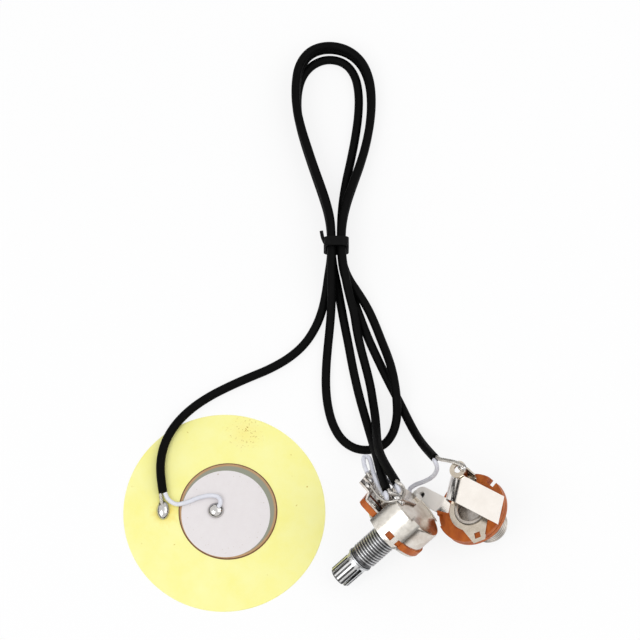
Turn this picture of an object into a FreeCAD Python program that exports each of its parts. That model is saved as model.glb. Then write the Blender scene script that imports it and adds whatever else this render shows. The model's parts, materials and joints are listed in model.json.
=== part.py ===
import FreeCAD, Part
import Sketcher
import math
import os
import re

# A prewired piezo pickup: brass disc, shielded cable, volume pot, cable and output jack.
# Origin at the middle of the brass disc's underside, +Z up, lengths in millimetres.

SIZES = [
    ("disc_diameter", 50.0, "brass disc"),
    ("disc_thickness", 0.3, "brass disc"),
    ("bond_thickness", 0.05, "glue under the ceramic"),
    ("bond_margin", 0.3, "glue squeezed out past the ceramic"),
    ("ceramic_diameter", 25.0, "piezo ceramic"),
    ("ceramic_thickness", 0.25, "piezo ceramic"),
    ("ceramic_shift_x", 0.9, "ceramic off the disc's middle"),
    ("ceramic_shift_y", 0.25, "ceramic off the disc's middle"),
    ("electrode_diameter", 22.4, "silver face"),
    ("electrode_thickness", 0.04, "silver face"),
    ("electrode_shift_x", 0.35, "silver face off the disc's middle"),
    ("electrode_shift_y", -0.45, "silver face off the disc's middle"),
    ("cable_diameter", 2.2, "shielded cable"),
    ("lead_diameter", 1.1, "insulated inner lead"),
    ("shield_diameter", 0.9, "twisted bare shield"),
    ("strand_diameter", 0.6, "bare ground wire and lead ends"),
    ("tie_length", 2.4, "tie along the cables"),
    ("tie_thickness", 0.6, "tie ribbon"),
    ("tie_clear", 0.25, "tie to cables"),
    ("tie_corner", 1.2, "inside corner radius of the tie"),
    ("tie_x", 27.78, "middle of the tie"),
    ("tie_y", 68.2, "middle of the tie"),
    ("column_gap", 2.45, "middle to middle of the two columns of cable"),
    ("row_gap", 2.3, "middle to middle of two rows of cable"),
    ("floor_clear", 0.05, "lowest point of the tie above the surface"),
    ("pot_heading", 217.0, "compass turn of the pot's shaft"),
    ("pot_polar", 118.4, "pot's shaft from straight up"),
    ("pot_roll", 255.9, "turn of the pot about its shaft"),
    ("pot_tip_x", 28.4, "end of the shaft"),
    ("pot_tip_y", -17.0, "end of the shaft"),
    ("pot_tip_z", 2.85, "end of the shaft"),
    ("thread_diameter", 7.0, "pot bushing"),
    ("thread_length", 10.6, "pot bushing in front of its bracket"),
    ("shoulder_diameter", 9.4, "foot of the pot bushing"),
    ("shoulder_height", 0.6, "foot of the pot bushing"),
    ("swage_diameter", 7.9, "riveted rim of the pot bushing"),
    ("swage_height", 0.5, "riveted rim of the pot bushing"),
    ("shaft_diameter", 6.0, "pot shaft"),
    ("shaft_reach", 7.5, "pot shaft in front of its bushing"),
    ("shaft_clear", 0.05, "shaft to bushing, on the radius"),
    ("spline_count", 18, "splines round the shaft"),
    ("spline_depth", 0.28, "splines"),
    ("spline_length", 5.7, "splines"),
    ("slot_width", 1.0, "slot across the shaft"),
    ("slot_depth", 6.2, "slot across the shaft"),
    ("slot_angle", 47.0, "slot across the shaft"),
    ("clip_thickness", 0.5, "retaining clip"),
    ("clip_diameter", 6.9, "retaining clip"),
    ("groove_diameter", 4.6, "groove for the clip"),
    ("clip_play", 0.08, "clip to its groove and the bushing"),
    ("flange_diameter", 6.9, "flange that keeps the shaft in"),
    ("flange_height", 0.5, "flange that keeps the shaft in"),
    ("stub_diameter", 3.8, "inner end of the shaft"),
    ("rivet_head", 0.4, "riveted inner end of the shaft"),
    ("bracket_diameter", 16.0, "front plate of the bracket"),
    ("bracket_thickness", 0.8, "front plate of the bracket"),
    ("arm_thickness", 0.6, "arms of the bracket"),
    ("arm_clear", 0.05, "arm to can"),
    ("arm_start", -112.0, "arm round the can, degrees"),
    ("arm_angle", 66.0, "arm round the can, degrees"),
    ("hook_angle", 16.0, "folded hook at the arm's end, degrees"),
    ("hook_reach", 2.3, "folded hook over the can's back"),
    ("window_height", 1.2, "windows in the arm"),
    ("window_width", 1.6, "windows in the arm"),
    ("window_first", 2.0, "first window from the arm's end, degrees"),
    ("window_step", 21.0, "next window, degrees"),
    ("fit_clear", 0.02, "bushing to bracket, on the radius"),
    ("board_diameter", 16.8, "phenolic board of the pot"),
    ("board_thickness", 1.6, "phenolic board of the pot"),
    ("board_reach", 10.8, "board from the axis to its terminal edge"),
    ("board_width", 12.0, "board at its terminal edge"),
    ("board_corner", 0.8, "board corners"),
    ("board_hole", 8.2, "middle hole of the board"),
    ("track_inner", 10.6, "carbon track"),
    ("track_outer", 13.2, "carbon track"),
    ("film_thickness", 0.06, "carbon track and collector ring"),
    ("collector_outer", 9.8, "collector ring"),
    ("track_gap_angle", 56.0, "open part of the track"),
    ("can_diameter", 15.8, "can of the pot"),
    ("can_depth", 5.9, "can of the pot"),
    ("can_wall", 0.4, "can of the pot"),
    ("can_corner", 0.6, "can of the pot"),
    ("can_notch_width", 11.4, "notch for the terminals"),
    ("can_notch_depth", 1.6, "notch for the terminals"),
    ("rotor_diameter", 12.6, "rotor that carries the wiper"),
    ("rotor_thickness", 1.2, "rotor that carries the wiper"),
    ("rotor_gap", 1.3, "rotor to board"),
    ("rotor_lug_angle", 20.0, "stop lug of the rotor, degrees"),
    ("rotor_lug_reach", 0.75, "stop lug beyond the rotor"),
    ("shaft_travel", 300.0, "turn of the shaft, degrees"),
    ("stop_clear_angle", 2.0, "lug to stop at each end, degrees"),
    ("wiper_angle", 180.0, "wiper at mid travel, opposite the terminals"),
    ("wiper_thickness", 0.2, "wiper spring"),
    ("wiper_width", 2.0, "wiper spring"),
    ("contact_clear", 0.05, "wiper to track"),
    ("terminal_width", 3.0, "pot terminals"),
    ("terminal_thickness", 0.5, "pot terminals"),
    ("terminal_pitch", 4.4, "pot terminals"),
    ("terminal_inner", 5.9, "inner end of a terminal from the axis"),
    ("terminal_crank", 1.9, "terminal lugs behind the board's back"),
    ("terminal_reach", 14.4, "outer end of a terminal from the axis"),
    ("terminal_bend", 0.7, "bend radius of a terminal"),
    ("eye_length", 2.0, "hole in a terminal lug"),
    ("eye_width", 1.2, "hole in a terminal lug"),
    ("rivet_diameter", 1.5, "terminal rivets"),
    ("rivet_cap", 2.4, "terminal rivet heads"),
    ("rivet_cap_height", 0.35, "terminal rivet heads"),
    ("rivet_radius", 8.0, "terminal rivets from the axis"),
    ("jack_heading", 162.4, "compass turn of the jack's back"),
    ("jack_polar", 27.1, "jack's back from straight up"),
    ("jack_roll", 164.7, "turn of the jack about its axis"),
    ("jack_x", 60.6, "middle of the jack's upper wafer"),
    ("jack_y", -2.3, "middle of the jack's upper wafer"),
    ("jack_z", 13.25, "middle of the jack's upper wafer"),
    ("plug_bore", 6.5, "bore for the plug"),
    ("jack_thread", 9.0, "jack bushing"),
    ("jack_thread_length", 8.7, "jack bushing beyond its flange"),
    ("jack_flange", 14.0, "jack bushing flange"),
    ("jack_flange_height", 0.8, "jack bushing flange"),
    ("jack_neck", 7.6, "neck through the wafers"),
    ("jack_rim", 8.6, "rolled rim at the neck's end"),
    ("jack_rim_height", 0.5, "rolled rim at the neck's end"),
    ("jack_mouth", 0.5, "chamfer at the bushing's ends"),
    ("neck_clear", 0.05, "neck to wafers and lug"),
    ("lower_wafer", 19.5, "lower wafer"),
    ("upper_wafer", 18.9, "upper wafer"),
    ("wafer_thickness", 1.2, "each wafer"),
    ("wafer_notch", 2.6, "notches of the wafers"),
    ("wafer_notch_depth", 1.6, "notches of the wafers"),
    ("spring_thickness", 0.5, "tip spring"),
    ("spring_base", 14.0, "tip spring between the wafers"),
    ("spring_hole", 10.0, "hole of the tip spring round the neck"),
    ("tip_lug_width", 4.2, "solder lug of the tip spring"),
    ("tip_lug_reach", 15.2, "solder lug's hole from the axis"),
    ("tip_lug_side", -2.4, "solder lug's middle line"),
    ("tip_lug_hole", 1.7, "solder lug's hole"),
    ("leaf_turn", 20.2, "bend of the tip spring, degrees"),
    ("leaf_back", 6.95, "back of the tip spring's bend from the axis"),
    ("leaf_arc", 5.6, "radius of the tip spring's bend"),
    ("leaf_foot", 0.8, "radius at the foot of the bend"),
    ("leaf_reach", 11.2, "free end of the leaf from the axis"),
    ("leaf_low_side", -1.0, "lower edge of the leaf"),
    ("leaf_high_side", 5.7, "upper edge of the leaf"),
    ("ground_thickness", 0.5, "ground lug"),
    ("ground_ring", 11.4, "ground lug round the neck"),
    ("ground_tail", 8.9, "far end of the ground lug's tail"),
    ("ground_tail_width", 3.0, "end of the ground lug's tail"),
    ("ground_tail_angle", -43.0, "tail of the ground lug, degrees"),
    ("ground_strap_angle", 122.0, "strap of the ground lug, degrees"),
    ("ground_strap_reach", 8.3, "strap of the ground lug"),
    ("ground_strap_width", 2.4, "strap of the ground lug"),
    ("ground_eye_height", 5.9, "solder eye above the wafer"),
    ("ground_eye", 4.3, "solder eye"),
    ("ground_eye_hole", 2.0, "hole of the solder eye"),
    ("ground_eye_x", -5.7, "middle of the solder eye"),
    ("ground_eye_y", 6.4, "middle of the solder eye"),
]

# Routes of the two cables: control points chosen by hand.
PICKUP_ROUTE = [
    (-15.2, 4.8, 1.5), (-15.9, 9.0, 1.5), (-15.9, 13.4, 1.5), (-14.8, 18.0, 1.5),
    (-12.3, 22.3, 1.5), (-8.6, 26.2, 1.4), (-4.0, 29.5, 1.2), (0.9, 32.1, 1.15),
    (5.9, 34.4, 1.15), (10.9, 36.5, 1.15), (15.6, 39.2, 1.15), (19.6, 42.7, 1.15),
    (22.4, 47.0, 1.15), (24.2, 51.6, 1.2), (25.2, 56.2, 2.1), (25.8, 60.4, 3.8),
    (26.5, 64.8, 4.2), (26.6, 69.4, 4.2), (26.4, 73.8, 4.2), (25.5, 78.4, 3.85),
    (24.0, 83.4, 3.45), (22.2, 88.6, 3.45), (20.5, 94.0, 3.45), (18.8, 99.6, 3.45),
    (17.6, 105.4, 3.45), (17.5, 111.2, 3.4), (18.3, 116.4, 3.35), (21.1, 120.8, 2.4),
    (25.6, 122.7, 1.2), (30.6, 121.7, 1.15), (34.4, 118.4, 1.15), (36.4, 113.4, 1.15),
    (36.9, 107.8, 1.15), (36.5, 101.8, 1.15), (35.4, 95.8, 1.2), (33.8, 90.0, 1.9),
    (31.9, 84.2, 2.9), (30.2, 78.6, 3.85), (29.2, 73.4, 4.2), (29.05, 68.2, 4.2),
    (29.3, 63.4, 4.2), (30.9, 59.4, 3.7), (33.3, 56.0, 3.05), (35.7, 52.4, 1.7),
    (37.5, 48.4, 1.2), (39.0, 44.2, 1.5), (40.4, 40.2, 2.6), (41.5, 36.2, 4.2),
    (42.3, 32.0, 4.7), (42.8, 27.6, 4.5), (42.9, 23.6, 2.4), (41.9, 19.8, 1.2),
    (39.6, 16.8, 1.15), (36.0, 15.5, 1.15), (32.1, 16.0, 1.15), (28.9, 18.4, 1.15),
    (26.8, 22.2, 1.15), (25.6, 26.8, 1.15), (25.1, 31.8, 1.15), (25.2, 37.0, 1.15),
    (25.6, 42.0, 1.2), (26.1, 46.8, 1.6), (26.5, 51.4, 2.9), (26.6, 56.0, 4.8),
    (26.5, 60.6, 6.15), (26.6, 65.4, 6.5), (26.55, 70.4, 6.5), (26.3, 74.6, 6.5),
    (25.3, 79.0, 6.15), (23.9, 83.6, 5.75), (22.1, 88.8, 5.75), (20.4, 94.2, 5.75),
    (18.7, 99.8, 5.75), (17.5, 105.6, 5.75), (17.4, 111.4, 5.75), (18.2, 116.6, 5.65),
    (21.1, 121.0, 4.7), (25.7, 122.8, 3.6), (30.7, 121.8, 3.45), (34.5, 118.5, 3.45),
    (36.5, 113.5, 3.45), (37.0, 107.8, 3.45), (36.6, 101.8, 3.45), (35.5, 95.8, 3.5),
    (33.9, 90.0, 4.2), (31.9, 84.2, 5.2), (30.2, 78.8, 6.15), (29.2, 73.6, 6.5),
    (29.0, 68.4, 6.5), (29.3, 63.6, 6.55), (30.1, 59.0, 6), (31.1, 54.8, 4.55),
    (32.3, 50.6, 3.4), (32.9, 46.4, 2.6), (33.9, 41.8, 1.6), (35.2, 37.0, 1.15),
    (36.3, 32.2, 1.25), (36.9, 27.8, 2.1), (37.4, 23.6, 4.0), (37.6, 19.8, 6.4),
    (37.7, 16.2, 9.4), (38.0, 12.8, 12.9), (38.9, 9.4, 16.4), (40.3, 5.8, 19.7),
    (42.0, 2.2, 22.5),
]
OUTPUT_ROUTE = [
    (39.8, 0.4, 21.3), (39.0, 3.7, 18.4), (38.2, 7.6, 14.6), (37.6, 11.5, 10.6),
    (36.9, 15.4, 6.9), (36.0, 19.4, 4.1), (34.9, 23.9, 2.3), (33.7, 28.6, 1.3),
    (32.6, 33.4, 1.15), (31.65, 38.2, 1.15), (30.8, 43.2, 1.15), (29.8, 48.4, 1.15),
    (28.9, 53.6, 1.15), (28.0, 58.6, 1.55), (27.0, 63.2, 1.9), (26.5, 67.8, 1.9),
    (26.5, 72.6, 1.9), (25.8, 77.4, 1.55), (24.3, 82.6, 1.15), (22.5, 88.0, 1.15),
    (20.7, 93.6, 1.15), (19.0, 99.4, 1.15), (17.8, 105.2, 1.15), (17.9, 110.8, 1.15),
    (19.2, 115.4, 1.15), (22.2, 118.7, 1.15), (26.2, 119.9, 1.15), (30.3, 118.7, 1.15),
    (32.8, 115.2, 1.15), (33.7, 110.4, 1.15), (33.6, 104.8, 1.15), (32.8, 98.6, 1.15),
    (31.6, 92.2, 1.15), (30.2, 85.8, 1.15), (29.3, 79.4, 1.55), (29.0, 73.4, 1.9),
    (29.0, 67.6, 1.9), (29.5, 62.4, 1.9), (31.0, 57.9, 1.15), (32.6, 53.5, 1.15),
    (34.1, 49.2, 1.15), (35.7, 44.8, 1.15), (37.6, 40.4, 1.15), (39.6, 36.0, 1.15),
    (41.7, 31.6, 1.15), (43.8, 27.4, 1.15), (45.7, 23.2, 1.4), (47.4, 19.3, 3.0),
    (49.1, 15.8, 6.0), (50.6, 13.0, 9.3), (51.8, 10.7, 12.5),
]

# Short wires, from their cable to what they are soldered to.
DISC_SHIELD = [(-15.75, 4.55, 1.25), (-15.7, 3.0, 1.1), (-15.15, 0.6, 0.85)]
DISC_LEAD = [
    (-14.7, 4.65, 1.75), (-14.0, 3.0, 1.35), (-11.9, 1.6, 1.3), (-9.1, 2.3, 1.4), (-6.3, 3.5, 1.45),
    (-3.6, 4.1, 1.45), (-1.3, 3.7, 1.5), (-0.8, 2.2, 1.5), (-1.6, 0.8, 1.35),
]
POT_INPUT_SHIELD = [
    (42.02, 2.3, 23.15), (42.8, 1.5, 24.0), (43.9, 0.5, 22.9), (43.95, -0.6, 20.9), (43.4, -1.1, 19.8),
]
POT_OUTPUT_SHIELD = [(40.28, 0.5, 21.8), (40.5, -0.3, 22.5), (41.3, -0.8, 22.2), (42.25, -0.8, 21.1)]
POT_INPUT_LEAD = [
    (42.17, 1.7, 22.3), (42.62, 0.74, 23.0), (42.82, -0.11, 21.78), (42.3, 1.0, 20.9), (41.4, 2.8, 18.5),
    (39.7, 4.7, 15.1), (38.3, 5.9, 13.6), (37.35, 6.35, 12.85),
]
POT_OUTPUT_LEAD = [
    (39.47, -0.1, 21.35), (39.7, -1.06, 22.15), (39.85, -2.03, 21.0), (39.56, -0.85, 19.96),
    (38.3, 1.3, 18.3), (37.15, 4.0, 17.4), (36.5, 6.6, 15.6), (36.1, 9.2, 13.9), (35.6, 10.9, 12.9),
    (34.3, 10.9, 13.2), (34.3, 8.9, 15.0), (34.7, 7.0, 16.6), (35.1, 5.9, 17.2),
]
POT_OUTPUT_STRANDS = [(35.15, 5.8, 17.25), (35.5, 5.0, 17.3), (36.0, 4.1, 16.75)]
POT_GROUND_WIRE = [
    (35.5, 1.9, 20.3), (36.3, 0.9, 20.8), (37.6, -1.0, 21.2), (39.4, -2.7, 22.1), (41.4, -2.7, 23.1),
    (43.3, -1.9, 21.9), (44.82, -1.47, 17.52), (46.79, -1.55, 14.7),
]
JACK_SHIELD = [(52.25, 10.85, 12.9), (52.7, 10.1, 13.9), (54.9, 9.3, 15.6), (57.0, 8.3, 17.6), (58.6, 7.2, 18.25)]
JACK_LEAD = [
    (51.54, 10.15, 12.65), (51.9, 9.4, 13.6), (52.4, 8.3, 12.2), (52.0, 7.4, 9.8), (50.9, 6.9, 7.4),
    (49.2, 6.5, 5.3), (47.3, 6.3, 3.4), (45.8, 5.5, 2.4), (45.8, 4.1, 2.1), (47.0, 3.3, 2.4), (48.5, 3.1, 3.8),
]

doc = FreeCAD.newDocument("PiezoPickup")
sheet = doc.addObject("Spreadsheet::Sheet", "Sizes")
for row, (alias, amount, note) in enumerate(SIZES, start=1):
    sheet.set("A%d" % row, note)
    sheet.set("B%d" % row, str(amount))
    sheet.setAlias("B%d" % row, alias)
doc.recompute()
ALIAS = re.compile(r"\b(%s)\b" % "|".join(name for name, amount, note in SIZES))
finished = []


def size(name):
    """A size from the sheet, as a number."""
    return float(getattr(sheet, name))


def bind(item, links):
    """Tie an item's properties to formulas of the sheet's sizes."""
    for path, formula in links.items():
        item.setExpression(path, ALIAS.sub(r"Sizes.\1", formula))


def seat(item, x, y, z, turn=None):
    """Tie an item's place in its own frame, and its turn about Z, to formulas."""
    bind(item, {"Placement.Base.x": x, "Placement.Base.y": y, "Placement.Base.z": z})
    if turn is not None:
        bind(item, {"Placement.Rotation.Angle": "(%s) * 1 deg" % turn})


def frame(heading, polar, roll, base):
    """A placement whose Z points polar degrees from up, towards the heading."""
    turn = FreeCAD.Rotation(FreeCAD.Vector(0, 0, 1), size(heading))
    tilt = FreeCAD.Rotation(FreeCAD.Vector(0, 1, 0), size(polar))
    spin = FreeCAD.Rotation(FreeCAD.Vector(0, 0, 1), size(roll))
    return FreeCAD.Placement(base, turn.multiply(tilt).multiply(spin))


def keep(item, label, place=None):
    """Name a finished piece and set it in its place."""
    item.Label = label
    if place is not None:
        item.Placement = place
    finished.append(item)
    return item


def cylinder(name, radius, height, z="0", x="0", y="0", angle=None, turn=None):
    item = doc.addObject("Part::Cylinder", name)
    bind(item, {"Radius": radius, "Height": height})
    seat(item, x, y, z, turn)
    if angle is not None:
        bind(item, {"Angle": angle})
    return item


def box(name, length, width, height, x="0", y="0", z="0", turn=None):
    item = doc.addObject("Part::Box", name)
    bind(item, {"Length": length, "Width": width, "Height": height})
    seat(item, x, y, z, turn)
    return item


def turned(item, formula):
    """Turn a finished tool about the local Z axis through the origin."""
    holder = doc.addObject("Part::Compound", item.Name + "_turned")
    holder.Links = [item]
    seat(holder, "0", "0", "0", formula)
    return holder


def fuse(name, items):
    item = doc.addObject("Part::MultiFuse", name)
    item.Shapes = items
    item.Refine = True
    return item


def cut(name, base, tools):
    item = doc.addObject("Part::Cut", name)
    item.Base = base
    item.Tool = tools[0] if len(tools) == 1 else doc.addObject("Part::Compound", name + "_tools")
    if len(tools) > 1:
        item.Tool.Links = tools
    item.Refine = True
    return item


def dome(name, spot, half_x, half_y, height, place=None, flip=0.0):
    """Half an ellipsoid on a flat base, in a given frame, upright or turned over."""
    item = doc.addObject("Part::Ellipsoid", name)
    item.Angle1 = 0
    item.Radius1 = height
    item.Radius2 = half_x
    item.Radius3 = half_y
    item.Placement = FreeCAD.Placement(
        FreeCAD.Vector(*spot), FreeCAD.Rotation(FreeCAD.Vector(1, 0, 0), flip))
    if place is not None:
        item.Placement = place.multiply(item.Placement)
    return item


def solder(label, blob, wires):
    """Solder that has flowed round the wires it holds."""
    keep(cut(label + "_joint", blob, wires), label)


def plane_of(body, role):
    return [f for f in body.Origin.OriginFeatures if f.Role == role][0]


def outline(body, role, points, height=None):
    """A closed sketch whose corners are tied to formulas."""
    sketch = body.newObject("Sketcher::SketchObject", body.Name + "_outline")
    sketch.AttachmentSupport = [(plane_of(body, role), "")]
    sketch.MapMode = "FlatFace"
    if height is not None:
        bind(sketch, {"AttachmentOffset.Base.z": height})
    count = len(points)
    ring = [
        FreeCAD.Vector(10 * math.cos(2 * math.pi * i / count), 10 * math.sin(2 * math.pi * i / count), 0)
        for i in range(count)
    ]
    for i in range(count):
        sketch.addGeometry(Part.LineSegment(ring[i], ring[(i + 1) % count]), False)
    for i in range(count):
        sketch.addConstraint(Sketcher.Constraint("Coincident", i, 2, (i + 1) % count, 1))
    for i, (across, up) in enumerate(points):
        for kind, formula, start in (("DistanceX", across, ring[i].x), ("DistanceY", up, ring[i].y)):
            index = sketch.addConstraint(Sketcher.Constraint(kind, -1, 1, i, 1, start))
            bind(sketch, {"Constraints[%d]" % index: formula})
    return sketch


def turned_body(name, points):
    """A body turned about Z from its half section."""
    body = doc.addObject("PartDesign::Body", name)
    sketch = outline(body, "XZ_Plane", points)
    spin = body.newObject("PartDesign::Revolution", name + "_turn")
    spin.Profile = sketch
    spin.ReferenceAxis = (sketch, ["V_Axis"])
    spin.Angle = 360
    doc.recompute()
    return body


def pad(body, sketch, length):
    item = body.newObject("PartDesign::Pad", body.Name + "_pad")
    item.Profile = sketch
    bind(item, {"Length": length})
    doc.recompute()
    return item


def rounded_path(points, share=0.45, limit=None):
    """Straight runs joined by tangent arcs; each arc as large as its runs allow."""
    spots = [FreeCAD.Vector(*point) for point in points]
    edges = []
    used = []
    start = spots[0]
    for i in range(1, len(spots) - 1):
        back = (spots[i - 1] - spots[i])
        ahead = (spots[i + 1] - spots[i])
        turn = math.pi - back.getAngle(ahead)
        run = min(back.Length, ahead.Length)
        radius = share * run / math.tan(turn / 2)
        if limit is not None:
            radius = min(radius, limit)
        reach = radius * math.tan(turn / 2)
        back.normalize()
        ahead.normalize()
        enter = spots[i] + back * reach
        leave = spots[i] + ahead * reach
        inward = (back + ahead).normalize()
        middle = spots[i] + inward * (radius / math.cos(turn / 2) - radius)
        edges.append(Part.LineSegment(start, enter).toShape())
        edges.append(Part.Arc(enter, middle, leave).toShape())
        used.append(radius)
        start = leave
    edges.append(Part.LineSegment(start, spots[-1]).toShape())
    return Part.Wire(edges), used


def tube(label, points, diameter):
    """A round wire or cable along its route."""
    path, radii = rounded_path(points)
    first = FreeCAD.Vector(*points[0])
    along = FreeCAD.Vector(*points[1]) - first
    section = Part.Wire([Part.makeCircle(diameter / 2, first, along)])
    item = doc.addObject("Part::Feature", label)
    item.Shape = path.makePipeShell([section], True, False)
    expected = path.Length * math.pi * diameter ** 2 / 4
    share = item.Shape.Volume / expected
    radii_text = " ".join("%.1f" % radius for radius in radii)
    print("%s: length %.1f, volume %.4f of section x length, radii %s" % (label, path.Length, share, radii_text))
    return keep(item, label)


def strip(points, width, thickness, bend, side=0.0):
    """A bent strip of sheet: its middle line in the XZ plane, its width along Y."""
    path, radii = rounded_path([(x, 0, z) for x, z in points], limit=bend)
    start = FreeCAD.Vector(points[0][0], 0, points[0][1])
    along = (FreeCAD.Vector(points[1][0], 0, points[1][1]) - start).normalize()
    normal = FreeCAD.Vector(-along.z, 0, along.x) * (thickness / 2)
    half = FreeCAD.Vector(0, width / 2, 0)
    corners = [start + normal + half, start + normal - half, start - normal - half, start - normal + half]
    section = Part.makePolygon(corners + corners[:1])
    shape = path.makePipeShell([section], True, False)
    shape.translate(FreeCAD.Vector(0, side, 0))
    return shape


def shaped(name, shape):
    item = doc.addObject("Part::Feature", name)
    item.Shape = shape
    return item


# The disc: brass, glue, ceramic, silver face and its two solder joints

def make_disc():
    keep(cylinder("brass_disc", "disc_diameter / 2", "disc_thickness"), "brass_disc")
    keep(
        cylinder("bond_layer", "ceramic_diameter / 2 + bond_margin", "bond_thickness",
                 "disc_thickness", "ceramic_shift_x", "ceramic_shift_y"),
        "bond_layer",
    )
    keep(
        cylinder("ceramic_disc", "ceramic_diameter / 2", "ceramic_thickness",
                 "disc_thickness + bond_thickness", "ceramic_shift_x", "ceramic_shift_y"),
        "ceramic_disc",
    )
    keep(
        cylinder("silver_electrode", "electrode_diameter / 2", "electrode_thickness",
                 "disc_thickness + bond_thickness + ceramic_thickness",
                 "electrode_shift_x", "electrode_shift_y"),
        "silver_electrode",
    )
    brass_top = size("disc_thickness")
    silver_top = brass_top + size("bond_thickness") + size("ceramic_thickness") + size("electrode_thickness")
    shield = tube("disc_shield_wire", DISC_SHIELD, size("shield_diameter"))
    lead = tube("disc_signal_lead", DISC_LEAD, size("lead_diameter"))
    solder("brass_solder", dome("brass_blob", (-15.15, 0.5, brass_top), 1.25, 1.7, 1.3), [shield])
    solder("silver_solder", dome("silver_blob", (-2.1, 0.35, silver_top), 1.8, 1.6, 1.35), [lead])


# The two cables and the tie round their six strands

def rounded_ring(grow):
    """The tie's outer or inner block: the six strands with a clearance, grown by a wall."""
    reach = size("cable_diameter") / 2 + size("tie_clear") + grow
    width = size("column_gap") + 2 * reach
    height = 2 * size("row_gap") + 2 * reach
    low = size("floor_clear") + size("tie_thickness") - grow
    corner = FreeCAD.Vector(size("tie_x") - width / 2, size("tie_y") - size("tie_length") / 2, low)
    block = Part.makeBox(width, size("tie_length"), height, corner)
    along = [edge for edge in block.Edges if abs(edge.tangentAt(edge.FirstParameter).y) > 0.99]
    return block.makeFillet(size("tie_corner") + grow, along)


def make_tie():
    ring = rounded_ring(size("tie_thickness")).cut(rounded_ring(0.0))
    left = size("tie_x") - size("column_gap") / 2 - size("cable_diameter") / 2 - size("tie_clear")
    root = (left - size("tie_thickness") / 2, size("tie_y"), 6.2)
    knee = (left - 0.9, size("tie_y") + 1.3, 6.6)
    tip = (left - 1.2, size("tie_y") + 3.0, 6.9)
    path, radii = rounded_path([root, knee, tip])
    section = Part.Wire([Part.makeCircle(0.45, FreeCAD.Vector(*root), FreeCAD.Vector(*knee) - FreeCAD.Vector(*root))])
    tail = path.makePipeShell([section], True, False)
    keep(shaped("bundle_tie", ring.fuse(tail).removeSplitter()), "bundle_tie")


def make_cables():
    tube("pickup_cable", PICKUP_ROUTE, size("cable_diameter"))
    tube("output_cable", OUTPUT_ROUTE, size("cable_diameter"))


# The volume pot, in its own frame: Z along the shaft to its tip, 0 at the bracket's front

BOARD_BACK = "(0 - bracket_thickness - board_thickness)"
CAN_BACK = "(0 - bracket_thickness - board_thickness - can_depth)"
ROTOR_FRONT = "(0 - bracket_thickness - board_thickness - rotor_gap)"


def make_pot_bushing(place):
    bore = "shaft_diameter / 2 + shaft_clear"
    back = "0 - bracket_thickness - swage_height"
    points = [
        (bore, back), ("swage_diameter / 2", back), ("swage_diameter / 2", "0 - bracket_thickness"),
        ("thread_diameter / 2", "0 - bracket_thickness"), ("thread_diameter / 2", "0"),
        ("shoulder_diameter / 2", "0"), ("shoulder_diameter / 2", "shoulder_height"),
        ("thread_diameter / 2", "shoulder_height"), ("thread_diameter / 2", "thread_length - 0.3"),
        ("thread_diameter / 2 - 0.3", "thread_length"), (bore, "thread_length"),
    ]
    keep(turned_body("pot_bushing", points), "pot_bushing", place)


def make_pot_bracket(place):
    """Front plate with two arms round the can, each with a folded hook and two windows."""
    inner = "can_diameter / 2 + arm_clear"
    outer = "can_diameter / 2 + arm_clear + arm_thickness"
    plate = cylinder("bracket_disc", "bracket_diameter / 2", "bracket_thickness", "0 - bracket_thickness")
    back = CAN_BACK + " - arm_clear"
    pieces = [plate]
    windows = []
    for number, mirror in enumerate((0, 180)):
        tag = "_%d" % number
        start = "arm_start + %d" % mirror
        arm_height = "bracket_thickness + board_thickness + can_depth"
        shell = cylinder("arm_outer" + tag, outer, arm_height, CAN_BACK, angle="arm_angle", turn=start)
        hook_height = "bracket_thickness + board_thickness + can_depth + arm_clear + arm_thickness"
        hook = cylinder("hook_outer" + tag, outer, hook_height, back + " - arm_thickness",
                        angle="hook_angle", turn=start)
        hollow = cylinder("arm_inner" + tag, inner, "board_thickness + can_depth + arm_clear", back)
        reach = cylinder("hook_inner" + tag, "can_diameter / 2 - hook_reach", "2 * arm_thickness",
                         back + " - 1.5 * arm_thickness")
        both = fuse("arm_both" + tag, [shell, hook])
        pieces.append(cut("arm" + tag, both, [hollow, reach]))
        for turn in ("0", "window_step"):
            window = box("window_%d" % len(windows), "3", "window_width", "window_height",
                         "can_diameter / 2 - 1", "0 - window_width / 2",
                         "0 - bracket_thickness - board_thickness / 2 - window_height / 2")
            windows.append(turned(window, "arm_start + window_first + %d + %s" % (mirror, turn)))
    hole = cylinder("bracket_hole", "thread_diameter / 2 + fit_clear", "3 * bracket_thickness",
                    "0 - 2 * bracket_thickness")
    body = fuse("bracket_body", pieces)
    keep(cut("pot_bracket", body, windows + [hole]), "pot_bracket", place)


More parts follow.
